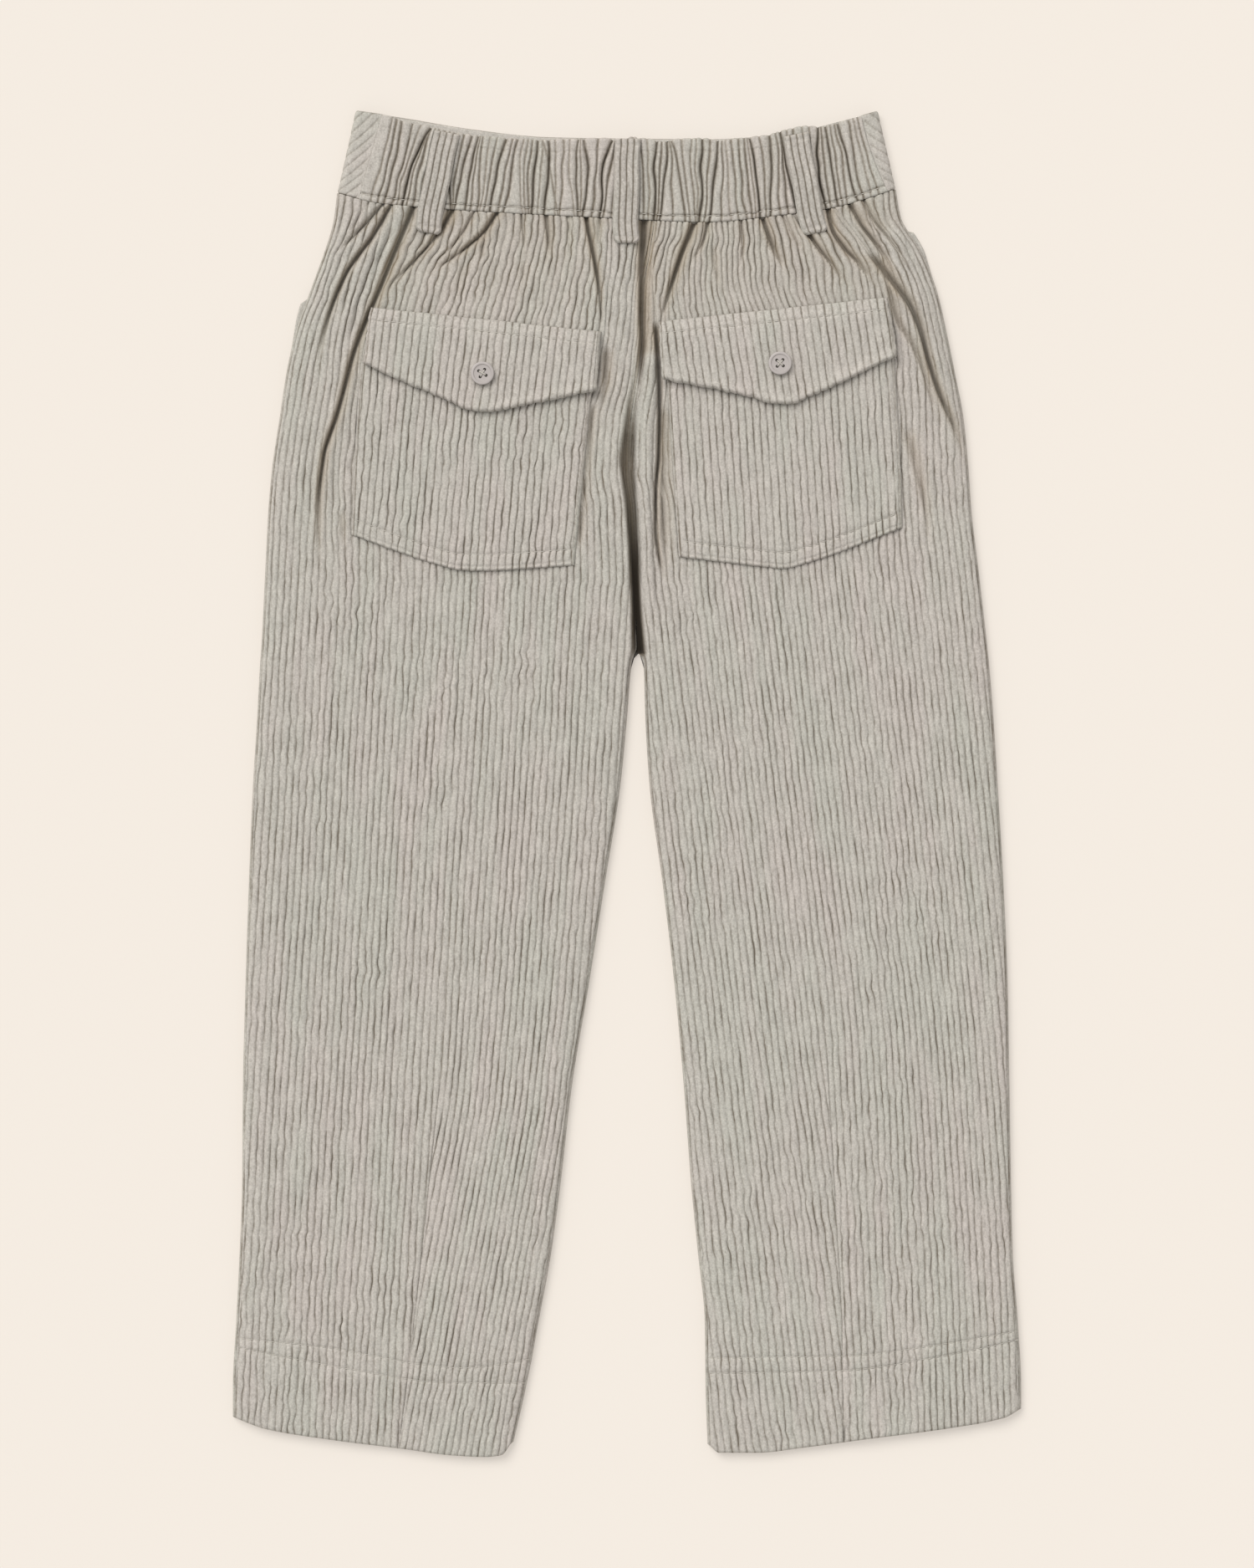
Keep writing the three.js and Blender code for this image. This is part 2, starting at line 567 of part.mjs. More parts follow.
function frontPanel(side) {
  const sign = side === 'left' ? -1 : 1;
  const mouth = mouths[side];
  const innerX = (y) => along(sections, `${side}Inner`, y);
  const seamX = (y) => frontSeamX(y) + sign * (cloth.gap / 2);
  const proud = (y) => sign * mouthProud.lift * (1 - smooth(0, mouthProud.fade, mouth.sideY - y));
  const rows = rowLevels.filter((level) => level < mouth.sideY - frontClear).map((level) => {
    const inner = crossing(level, level > levels.crotch ? seamX : innerX);
    const outer = crossing(level, (y) => along(sections, `${side}Outer`, y) + proud(y));
    return [inner, ...acrossFront.map((part) => crossing(level, () => mix(inner.x, outer.x, part))), outer];
  });
  // The top row follows the waist seam, then the mouth of the pocket down to the side.
  const turn = acrossFront[mouthLine];
  const corner = mouth.sideX + sign * mouthProud.lift;
  rows.push([0, ...acrossFront, 1].map((part) => {
    const toMouth = mix(seamX(levels.seam), mouth.seamX, part / turn);
    const x = part <= turn ? toMouth : mix(mouth.seamX, corner, (part - turn) / (1 - turn));
    const y = part <= turn ? along(seamLine, 'y', x) : mouthHeight(side, x);
    return { x, y: y - cloth.gap };
  }));
  return slab(rows, sign);
}

function frontPocket(side) {
  const sign = side === 'left' ? -1 : 1;
  const mouth = mouths[side];
  const cornerX = sides[side].edgeLow;
  const rows = pocketUp.map((up) => {
    const innerX = mix(mouth.sideX, mouth.seamX, up);
    const innerY = mouthHeight(side, innerX) + cloth.gap / 2;
    const outerY = mix(mouth.sideY, along(seamLine, 'y', cornerX), up) - (up === 1 ? cloth.gap : 0);
    const outerX = along(sections, `${side}Outer`, outerY);
    return pocketAcross.map((part) => {
      const x = mix(innerX, outerX, part);
      const y = up === 1 ? along(seamLine, 'y', x) - cloth.gap : mix(innerY, outerY, part);
      return { x, y };
    });
  });
  return slab(rows, sign);
}

// ---- waistband ----
// The front band lies flat underneath and comes round both sides to a short tip on top.
function frontBand() {
  const half = cloth.ply / 2;
  const outerRadius = (cloth.ply * 2 + band.hollow) / 2;
  const middle = outerRadius - half;
  const over = [];
  const under = [];
  for (const up of band.frontRows) {
    const edge = {
      left: mix(sides.left.edgeLow, sides.left.edgeHigh, up),
      right: mix(sides.right.edgeLow, sides.right.edgeHigh, up),
    };
    const path = [];
    const station = (x, z, nx, nz, top) => path.push({ x, z, nx, nz, top });
    const turn = (side, sign, angles) => {
      for (const angle of angles) {
        const out = Math.cos(angle);
        const rise = Math.sin(angle);
        const x = edge[side] + sign * (middle * out - outerRadius);
        station(x, outerRadius + middle * rise, sign * out, rise, rise > 0.5 ? bandTop : frontBandTop);
      }
    };
    const tipX = (side) => mix(sides[side].tipLow, sides[side].tipHigh, up);
    const downward = band.turn.map((part) => part * (Math.PI / 2));
    station(tipX('right'), outerRadius + middle, 0, 1, bandTop);
    turn('right', 1, downward);
    for (let part = 1; part < band.frontStations; part += 1) {
      const x = mix(edge.right - outerRadius, edge.left + outerRadius, part / band.frontStations);
      station(x, half, 0, -1, frontBandTop);
    }
    turn('left', -1, [...downward].reverse());
    station(tipX('left'), outerRadius + middle, 0, 1, bandTop);
    const place = (spot, way) => {
      const x = spot.x + way * half * spot.nx;
      const low = along(seamLine, 'y', clamp(x, sides.left.edgeLow, sides.right.edgeLow)) + cloth.gap / 2;
      return [x, mix(low, along(spot.top, 'y', x), up), spot.z + way * half * spot.nz];
    };
    over.push(path.map((spot) => place(spot, 1)));
    under.push(path.map((spot) => place(spot, -1)));
  }
  return wallBetween(over, under);
}

// Height of one gather of the back band: uneven from pleat to pleat, as elastic draws them.
function pleatHeight(pleat) {
  const uneven = 0.5 + 0.25 * Math.sin(pleat * 2.3) + 0.25 * Math.sin(pleat * 5.1 + 1);
  return band.pleat * mix(band.shallow, 1, uneven);
}

function backBand() {
  const base = cloth.ply + band.hollow;
  const halves = band.pleats * 2;
  const over = [];
  const under = [];
  for (const row of band.backRows) {
    const left = mix(sides.left.tipLow, sides.left.tipHigh, row.up) + cloth.gap;
    const right = mix(sides.right.tipLow, sides.right.tipHigh, row.up) - cloth.gap;
    const spot = (half, z) => {
      const uneven = half % halves === 0 ? 0 : band.uneven * Math.sin(half * 1.7);
      const x = mix(left, right, (half + uneven) / halves);
      return [x, mix(along(seamLine, 'y', x) + cloth.gap / 2, along(bandTop, 'y', x), row.up), z];
    };
    const top = [];
    const plain = [];
    for (let half = 0; half <= halves; half += 1) {
      const lift = half % 2 ? pleatHeight(half) * row.drawn : 0;
      top.push(spot(half, base + cloth.wall + lift));
      if (half % band.plainEvery === 0) plain.push(spot(half, base));
    }
    over.push(top);
    under.push(plain);
  }
  return wallBetween(over, under);
}

// ---- patches: pockets, flaps and loops are walls made from the panel's points, moved out ----
const ridgeTop = cloth.wall + cloth.wale;
const spareWales = 6; // wales laid past a patch's edges before they are ended on them
const onPanel = (side, x, y) => backHeight(side, x, y, true) + ridgeTop + cloth.rest;
const onPocket = (side, x, y) => onPanel(side, x, y) + ridgeTop + cloth.rest;

// rowsAt gives a patch's heights at one x, bottom to top; baseAt its inner face, row by row.
function patch(outline, rowsAt, baseAt) {
  const over = [];
  const under = [];
  const middleX = (outline.leftEdge[0].x + outline.rightEdge[0].x) / 2;
  const middleY = outline.leftEdge[0].at;
  const reach = Math.ceil((outline.rightEdge[0].x - outline.leftEdge[0].x) / outline.pitch) + spareWales;
  for (let row = 0; row < rowsAt(middleX).length; row += 1) {
    const line = [];
    for (let half = -reach; half <= reach; half += 1) {
      let x = middleX + (half * outline.pitch) / 2;
      let y = middleY;
      for (let pass = 0; pass < passes; pass += 1) {
        y = rowsAt(x)[row];
        x = middleX + (half * outline.pitch) / 2 + outline.lean * (y - middleY);
      }
      let edge = false;
      for (const [rows, way] of [[outline.leftEdge, 1], [outline.rightEdge, -1]]) {
        if (way * (x - along(rows, 'x', y)) < cloth.edgeSnap) {
          for (let pass = 0; pass < passes; pass += 1) {
            x = along(rows, 'x', y);
            y = rowsAt(x)[row];
          }
          edge = true;
        }
      }
      line.push({ x, y, edge, ridge: half % 2 !== 0 && !edge });
    }
    over.push(line.map((spot) => {
      const lift = spot.edge ? cloth.rim : (spot.ridge ? cloth.wale : 0);
      return [spot.x, spot.y, baseAt(spot.x, spot.y, row) + cloth.wall + lift];
    }));
    const plain = line.filter((spot, index) => index % coarse.every === 0 || index === line.length - 1);
    under.push(plain.map((spot) => [spot.x, spot.y, baseAt(spot.x, spot.y, row)]));
  }
  return wallBetween(over, under);
}

function backPocket(side) {
  const outline = pockets[side];
  const rowsAt = (x) => {
    const bottom = along(outline.bottom, 'y', x);
    const top = along(outline.top, 'y', x);
    return pocketRows.map((part) => mix(bottom, top, part));
  };
  return patch(outline, rowsAt, (x, y) => onPanel(side, x, y));
}

// A flap starts on the panel at its seam and is clear of the pocket's mouth before it passes over it.
function pocketFlap(side) {
  const outline = flaps[side];
  const rowsAt = (x) => {
    const bottom = along(outline.bottom, 'y', x);
    const top = along(outline.top, 'y', x);
    const shoulder = top - flapShape.shoulder;
    return [bottom, mix(bottom, shoulder, 0.5), shoulder, top];
  };
  const baseAt = (x, y, row) => (row === 3 ? onPanel(side, x, y) : onPocket(side, x, y));
  return patch(outline, rowsAt, baseAt);
}

// What a loop passes over: the panel below the waist seam, the tops of the gathers above it.
function loopBed(side, x, y) {
  const seamY = along(seamLine, 'y', x);
  if (y > seamY + loopShape.bedReach) return cloth.ply + band.hollow + cloth.wall + band.pleat + cloth.rest;
  return onPanel(side, x, y);
}

function beltLoop(name) {
  const place = loops[name];
  const side = name === 'right' ? 'right' : 'left';
  const over = [];
  const under = [];
  const length = Math.hypot(place.topX - place.bottomX, place.topY - place.bottomY);
  const acrossX = (place.topY - place.bottomY) / length;
  const acrossY = -(place.topX - place.bottomX) / length;
  const halves = loopShape.wales * 2;
  for (const row of loopShape.rows) {
    const x = mix(place.bottomX, place.topX, row.up);
    const y = mix(place.bottomY, place.topY, row.up);
    const beds = [-1, -0.5, 0, 0.5, 1].flatMap((part) => [-loopShape.bedReach, 0, loopShape.bedReach].map(
      (step) => loopBed(side, x + part * (loopShape.width / 2), y + step),
    ));
    const base = Math.max(...beds) + row.clear;
    const spot = (half, z) => {
      const out = (half / halves - 0.5) * loopShape.width * row.wide;
      return [x + out * acrossX, y + out * acrossY, z];
    };
    const top = [];
    for (let half = 0; half <= halves; half += 1) {
      const edge = half === 0 || half === halves;
      top.push(spot(half, base + cloth.wall + (edge ? cloth.rim : 0) + (half % 2 ? cloth.wale : 0)));
    }
    over.push(top);
    under.push([0, halves / 2, halves].map((half) => spot(half, base)));
  }
  return wallBetween(over, under);
}

// ---- four-hole button: a turned disc with a raised rim, its holes cut through ----
function solidOf(geometry) {
  const bare = geometry.clone();
  bare.deleteAttribute('normal');
  bare.deleteAttribute('uv');
  const merged = mergeVertices(bare);
  const vertProperties = new Float32Array(merged.attributes.position.array);
  const triVerts = new Uint32Array(merged.index.array);
  return new wasm.Manifold(new wasm.Mesh({ numProp: 3, vertProperties, triVerts }));
}

function buttonShape() {
  const { radius, thick, rim, dish, bevel } = button;
  const profile = [
    [0, 0], [radius - bevel, 0], [radius, bevel], [radius, thick - bevel], [radius - bevel, thick],
    [radius - rim, thick], [radius - rim - bevel, thick - dish], [0, thick - dish],
  ].map(([r, z]) => new THREE.Vector2(r, z));
  const disc = new THREE.LatheGeometry(profile, button.sides).rotateX(Math.PI / 2);
  let body = solidOf(disc);
  for (const [x, y] of [[1, 1], [-1, 1], [-1, -1], [1, -1]]) {
    const hole = new THREE.CylinderGeometry(button.holeRadius, button.holeRadius, thick * 3, button.holeSides);
    hole.rotateX(Math.PI / 2).translate(x * button.holeReach, y * button.holeReach, 0);
    body = body.subtract(solidOf(hole));
  }
  const mesh = body.getMesh();
  const shape = new THREE.BufferGeometry();
  shape.setAttribute('position', new THREE.Float32BufferAttribute(mesh.vertProperties, 3));
  shape.setIndex(Array.from(mesh.triVerts));
  shape.computeVertexNormals();
  return shape;
}

// ---- the trousers ----
const group = new THREE.Group();
function add(name, geometry, shade) {
  const mesh = new THREE.Mesh(geometry, new THREE.MeshStandardMaterial(shade));
  mesh.name = name;
  group.add(mesh);
  return mesh;
}

for (const side of ['left', 'right']) {
  add(`front_panel_${side}`, frontPanel(side), shades.cloth);
  add(`front_pocket_${side}`, frontPocket(side), shades.cloth);
  add(`back_panel_${side}`, backPanel(side), shades.cloth);
  add(`back_pocket_${side}`, backPocket(side), shades.cloth);
  add(`pocket_flap_${side}`, pocketFlap(side), shades.cloth);
  const disc = add(`button_${side}`, buttonShape(), shades.button);
  const place = buttonPlace[side];
  const ways = [-button.radius, 0, button.radius];
  const beds = ways.flatMap((right) => ways.map((up) => onPocket(side, place.x + right, place.y + up)));
  disc.position.set(place.x, place.y, Math.max(...beds) + ridgeTop + cloth.gap);
}
for (const name of ['left', 'centre', 'right']) add(`belt_loop_${name}`, beltLoop(name), shades.cloth);
add('waistband_front', frontBand(), shades.cloth);
add('waistband_back', backBand(), shades.cloth);

export default group;
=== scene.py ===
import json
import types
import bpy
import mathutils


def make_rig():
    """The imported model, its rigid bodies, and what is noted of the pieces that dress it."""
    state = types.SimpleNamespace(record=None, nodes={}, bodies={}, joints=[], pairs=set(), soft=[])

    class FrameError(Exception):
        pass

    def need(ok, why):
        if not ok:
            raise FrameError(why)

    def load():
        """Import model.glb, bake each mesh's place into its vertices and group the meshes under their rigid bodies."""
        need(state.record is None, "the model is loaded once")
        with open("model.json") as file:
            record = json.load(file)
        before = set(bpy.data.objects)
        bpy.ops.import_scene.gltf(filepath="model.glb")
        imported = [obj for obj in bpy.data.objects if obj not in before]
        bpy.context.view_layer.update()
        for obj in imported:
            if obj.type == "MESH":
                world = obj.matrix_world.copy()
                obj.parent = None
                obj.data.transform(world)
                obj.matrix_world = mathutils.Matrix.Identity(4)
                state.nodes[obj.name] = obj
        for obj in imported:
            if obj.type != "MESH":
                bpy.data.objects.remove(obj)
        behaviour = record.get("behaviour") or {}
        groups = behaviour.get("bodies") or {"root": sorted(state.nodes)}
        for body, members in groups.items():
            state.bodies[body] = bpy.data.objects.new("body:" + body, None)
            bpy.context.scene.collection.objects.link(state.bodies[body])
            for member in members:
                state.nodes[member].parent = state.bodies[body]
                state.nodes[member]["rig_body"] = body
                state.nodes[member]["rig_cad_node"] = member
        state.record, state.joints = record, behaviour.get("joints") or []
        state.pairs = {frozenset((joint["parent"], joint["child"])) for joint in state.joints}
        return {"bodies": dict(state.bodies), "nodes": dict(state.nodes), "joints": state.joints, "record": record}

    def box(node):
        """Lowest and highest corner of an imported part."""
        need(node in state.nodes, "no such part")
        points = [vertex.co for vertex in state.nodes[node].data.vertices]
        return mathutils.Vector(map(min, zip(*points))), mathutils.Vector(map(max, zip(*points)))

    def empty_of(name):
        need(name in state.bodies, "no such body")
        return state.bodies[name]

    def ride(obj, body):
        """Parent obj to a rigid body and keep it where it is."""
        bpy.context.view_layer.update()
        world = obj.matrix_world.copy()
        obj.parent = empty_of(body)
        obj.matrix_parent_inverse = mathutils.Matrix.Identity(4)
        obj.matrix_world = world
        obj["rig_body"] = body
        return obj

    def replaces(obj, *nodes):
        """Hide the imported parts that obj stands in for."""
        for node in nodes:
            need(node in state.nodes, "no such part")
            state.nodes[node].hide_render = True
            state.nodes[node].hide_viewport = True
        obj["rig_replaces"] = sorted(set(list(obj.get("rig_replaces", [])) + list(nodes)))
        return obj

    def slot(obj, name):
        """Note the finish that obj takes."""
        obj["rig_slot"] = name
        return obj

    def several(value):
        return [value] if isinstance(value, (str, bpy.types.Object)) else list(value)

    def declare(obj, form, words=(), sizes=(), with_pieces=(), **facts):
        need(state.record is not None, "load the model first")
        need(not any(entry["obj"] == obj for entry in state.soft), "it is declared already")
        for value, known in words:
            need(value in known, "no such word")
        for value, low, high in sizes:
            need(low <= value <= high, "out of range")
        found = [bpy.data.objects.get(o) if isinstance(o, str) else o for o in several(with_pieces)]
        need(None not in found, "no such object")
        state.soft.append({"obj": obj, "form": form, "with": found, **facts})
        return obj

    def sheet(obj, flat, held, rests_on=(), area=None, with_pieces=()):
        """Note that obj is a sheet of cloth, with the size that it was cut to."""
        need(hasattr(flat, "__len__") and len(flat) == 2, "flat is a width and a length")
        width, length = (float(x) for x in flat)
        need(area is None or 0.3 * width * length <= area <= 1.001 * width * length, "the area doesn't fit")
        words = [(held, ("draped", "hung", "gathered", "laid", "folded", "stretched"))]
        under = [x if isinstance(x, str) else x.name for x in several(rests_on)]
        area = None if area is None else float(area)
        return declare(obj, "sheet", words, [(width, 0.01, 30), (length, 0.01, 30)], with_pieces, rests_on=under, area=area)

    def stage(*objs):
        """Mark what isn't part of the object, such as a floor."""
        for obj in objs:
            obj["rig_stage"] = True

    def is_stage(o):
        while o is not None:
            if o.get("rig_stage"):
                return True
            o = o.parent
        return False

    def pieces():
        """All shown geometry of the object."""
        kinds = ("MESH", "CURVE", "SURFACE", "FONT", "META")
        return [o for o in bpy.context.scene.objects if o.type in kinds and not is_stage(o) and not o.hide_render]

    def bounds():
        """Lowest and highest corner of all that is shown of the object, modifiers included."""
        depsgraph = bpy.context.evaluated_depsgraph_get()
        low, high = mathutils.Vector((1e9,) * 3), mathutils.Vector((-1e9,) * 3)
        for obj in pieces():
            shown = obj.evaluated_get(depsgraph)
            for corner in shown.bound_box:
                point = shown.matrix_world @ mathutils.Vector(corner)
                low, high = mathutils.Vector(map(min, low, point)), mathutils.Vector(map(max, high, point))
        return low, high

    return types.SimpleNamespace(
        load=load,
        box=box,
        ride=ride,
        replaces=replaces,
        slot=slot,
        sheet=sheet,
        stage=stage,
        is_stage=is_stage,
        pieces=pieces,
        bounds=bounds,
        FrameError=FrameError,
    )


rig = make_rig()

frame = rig.load()
cadLow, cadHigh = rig.bounds()

import json
import math

import bpy
import numpy as np
from mathutils import Vector

# Child's wide-leg trousers in wide-wale corduroy, laid flat with the back uppermost.
# Sizes in the tables are millimetres; meshes are written in metres.
# +X towards the wearer's right side, +Y from hem to waist, +Z up.
mm = 0.001
signs = {"left": -1, "right": 1}  # outward is sign times x

cloth = {
    "ply": 2.0,  # front panels, flat on the surface
    "gap": 0.3,
    "wall": 1.3,  # cloth under its wales
    "wale": 1.0,  # height of a wale
    "relief": 0.85,  # share of that height at rest
    "pitch": 3.4,  # wale to wale
    "rest": 0.35,  # clearance of a patch over the wales it lies on
    "edge": 1.4,  # radius of a turned edge
    "fullness": 4.6,  # flatness of a wale's top: higher gives a narrower groove
    "phases": (0, 0.12, 0.34, 0.66, 0.88),  # points across a wale, groove to groove
}


# curves, steps and soft random fields
def tableOf(columns, rows):  # a short table: a dictionary for each row
    return [dict(zip(columns.split(), row)) for row in rows]


def mix(a, b, part):  # straight blend
    return a + (b - a) * part


def smoothStep(low, high, value):  # 0 below low, 1 above high, a cubic between
    part = np.clip((value - low) / (high - low), 0, 1)
    return part * part * (3 - 2 * part)


def bell(distance, width):  # 1 in the middle, about a third at one width from it
    return np.exp(-((distance / width) ** 2))


def curveOf(rows, column, at):
    # smooth cubic through a table's column over its column "at": each slope is the harmonic mean of
    # its neighbours', and past both ends the curve runs on straight
    where = np.array([row["at"] for row in rows], float)
    what = np.array([row[column] for row in rows], float)
    rise = np.diff(what) / np.diff(where)
    slope = np.concatenate([rise[:1], np.zeros(len(rise) - 1), rise[-1:]])
    if len(rise) > 1:
        before, after = rise[:-1], rise[1:]
        same = before * after > 0
        total = np.where(same, before + after, 1)
        slope[1:-1] = np.where(same, 2 * before * after / total, 0)
    at = np.asarray(at, float)
    i = np.clip(np.searchsorted(where, at, side="right") - 1, 0, len(where) - 2)
    run = where[i + 1] - where[i]
    t = np.clip((at - where[i]) / run, 0, 1)
    start, end = what[i], what[i + 1]
    leave, arrive = slope[i] * run, slope[i + 1] * run
    inside = (2 * t**3 - 3 * t**2 + 1) * start + (3 * t**2 - 2 * t**3) * end
    inside += (t**3 - 2 * t**2 + t) * leave + (t**3 - t**2) * arrive
    below = np.minimum(at - where[0], 0) * slope[0]
    above = np.maximum(at - where[-1], 0) * slope[-1]
    return inside + below + above


def softNoise(seed, across, along, cellAcross, cellAlong):
    # random values on a lattice, blended by cubic splines both ways: mean 0, spread about 1
    size, spread = 128, 2.1
    lattice = np.random.default_rng(seed).normal(0, 1, (size, size))
    u = np.asarray(across, float) / cellAcross
    v = np.asarray(along, float) / cellAlong
    u, v = np.broadcast_arrays(u, v)
    iu, iv = np.floor(u).astype(int), np.floor(v).astype(int)

    def weights(t):
        return ((1 - t) ** 3 / 6, (3 * t**3 - 6 * t**2 + 4) / 6, (3 * (t**2 + t - t**3) + 1) / 6, t**3 / 6)

    total = np.zeros(u.shape)
    for i, wide in enumerate(weights(u - iu)):
        for j, high in enumerate(weights(v - iv)):
            total += wide * high * lattice[(iu + i) % size, (iv + j) % size]
    return total * spread


# outline: sections across the trousers, hem to waist
sections = tableOf("at leftOuter leftInner rightInner rightOuter", [
    (-322, -188.4, -56, 38.8, 188.4),
    (-289, -188.4, -48.4, 37.6, 188.4),
    (-257, -186.8, -42.4, 37.2, 186.8),
    (-225, -185.2, -36.4, 34, 184.4),
    (-193, -184, -32, 30.8, 183.6),
    (-145, -183.6, -26.4, 27.2, 182.8),
    (-97, -182.4, -18.4, 22.8, 182),
    (-49, -180.8, -10.8, 17.2, 180),
    (-1, -178.8, -3.2, 10.8, 177.2),
    (31, -176.8, 0, 8.8, 175.2),
    (60, -175.2, 2.7, 7.8, 172.8),
    (62, -175, 5.1, 5.1, 172.6),
    (104, -172.8, 4, 4, 167.8),
    (131, -171.4, 2.8, 2.8, 164.6),
    (151, -169.6, 0.6, 0.6, 163.2),
    (175, -166, 2, 2, 160.8),
    (195, -163, 5.2, 5.2, 157),
    (215, -158.6, 7.4, 7.4, 152.9),
    (235, -151.5, 7.8, 7.8, 148.2),
    (254, -144.6, 10.8, 10.8, 140.6),
    (270, -139.8, 13, 13, 131),
    (284, -138.4, 13.2, 13.2, 128.4),
])
hemLine = tableOf("at y", [
    (-188.4, -302.5), (-172, -308.4), (-140, -313.6), (-108, -317.6), (-84, -320.8), (-68, -321.6),
    (-60, -320.8), (-54, -314.5), (38, -315.5), (44, -319.6), (62, -319.6), (84, -317.2),
    (108, -314), (156, -307.6), (180, -303), (188.4, -298.5),
])
seamLine = tableOf("at y", [
    (-138.4, 282), (-121, 277.2), (-101, 275.1), (-61, 272.4), (-1, 269.4), (36, 267.8),
    (80, 271.9), (98, 274.6), (112, 278.3), (128.4, 283.8),
])
# two rows of stitching round each hem
hemStitches = {
    "left": {
        "low": tableOf("at y", [(-182, -269.6), (-132, -279.4), (-89, -285.6), (-48, -286.2)]),
        "high": tableOf("at y", [(-182, -265), (-142, -269.2), (-99, -277), (-78, -278.8), (-45, -274.6)]),
    },
    "right": {
        "low": tableOf("at y", [(40, -281.4), (100, -280.2), (167, -269.8), (184, -266)]),
        "high": tableOf("at y", [(40, -274), (102, -273.2), (157, -266.4), (184, -261.6)]),
    },
}
levels = {"hem": -312, "stitchLow": -281, "stitchHigh": -273, "plain": -200, "crotch": 60, "grain": 95,
          "gather": 205, "seam": 275}

# run of the wales in each leg, outward from the middle
grain = {
    "left": tableOf("at inner dartInner dartOuter outer", [
        (-317, 45.5, 121.4, 100.1, 198.3),
        (-257, 34.5, 110.3, 96.4, 194.7),
        (-193, 23.6, 98.4, 92.5, 190.8),
        (-145, 16.2, 89.6, 89.6, 187.9),
        (-49, 6, 83.7, 83.7, 182),
        (30, 0.4, 78.9, 78.9, 177.2),
        (95, -4, 75, 75, 173.2),
    ]),
    "right": tableOf("at inner dartInner dartOuter outer", [
        (-317, 53.4, 122.1, 104, 203.3),
        (-257, 46.2, 113.7, 101.3, 201.2),
        (-193, 38.5, 104.7, 98.4, 197),
        (-125, 30.4, 95.2, 95.2, 191.4),
        (-49, 21.3, 85.7, 85.7, 184.1),
        (30, 11.8, 75.8, 75.8, 175.6),
        (95, 4, 67.7, 67.7, 168.6),
    ]),
}
dartLine = {
    "left": tableOf("at x", [(-318, 109), (-268, 102.8), (-145, 89.6)]),
    "right": tableOf("at x", [(-318, 103.3), (-258, 102.6), (-218, 100.6), (-125, 95.2)]),
}
waleCount = {"left": {"spare": 0, "inner": 24, "outer": 30}, "right": {"spare": 5, "inner": 20, "outer": 31}}

# folds of the back: a path from the top down, half width, height (below zero, a trough), the wales
# that it swallows at its top, and a soft bulge along each side of it
def foldsOf(*rows):
    # a row may leave out its last values: how steep its sides are, the share of its length over which
    # it fades out, and the run over which it starts
    usual = (2.6, 0.6, 1)
    names = ("path", "width", "height", "takes", "bulge", "steep", "tail", "lead")
    return [dict(zip(names, (*row, *usual[len(row) - 5:]))) for row in rows]


# between the legs the cloth sinks to the ply below: a trough with steep sides
legGap = ([(2.6, 192), (2.2, 178), (1.2, 165), (0.2, 155), (1, 145), (2.2, 130), (3.5, 110), (4, 95),
           (5, 75), (5.9, 62)], 3, -5.6, 1, 0, 6, 0.005, 40)
gapWidth = tableOf("at half", [
    (60, 3.2), (75, 2.8), (95, 2.5), (130, 2.6), (145, 3.2), (155, 3.7), (165, 3.3), (178, 2.5), (192, 1.6),
])
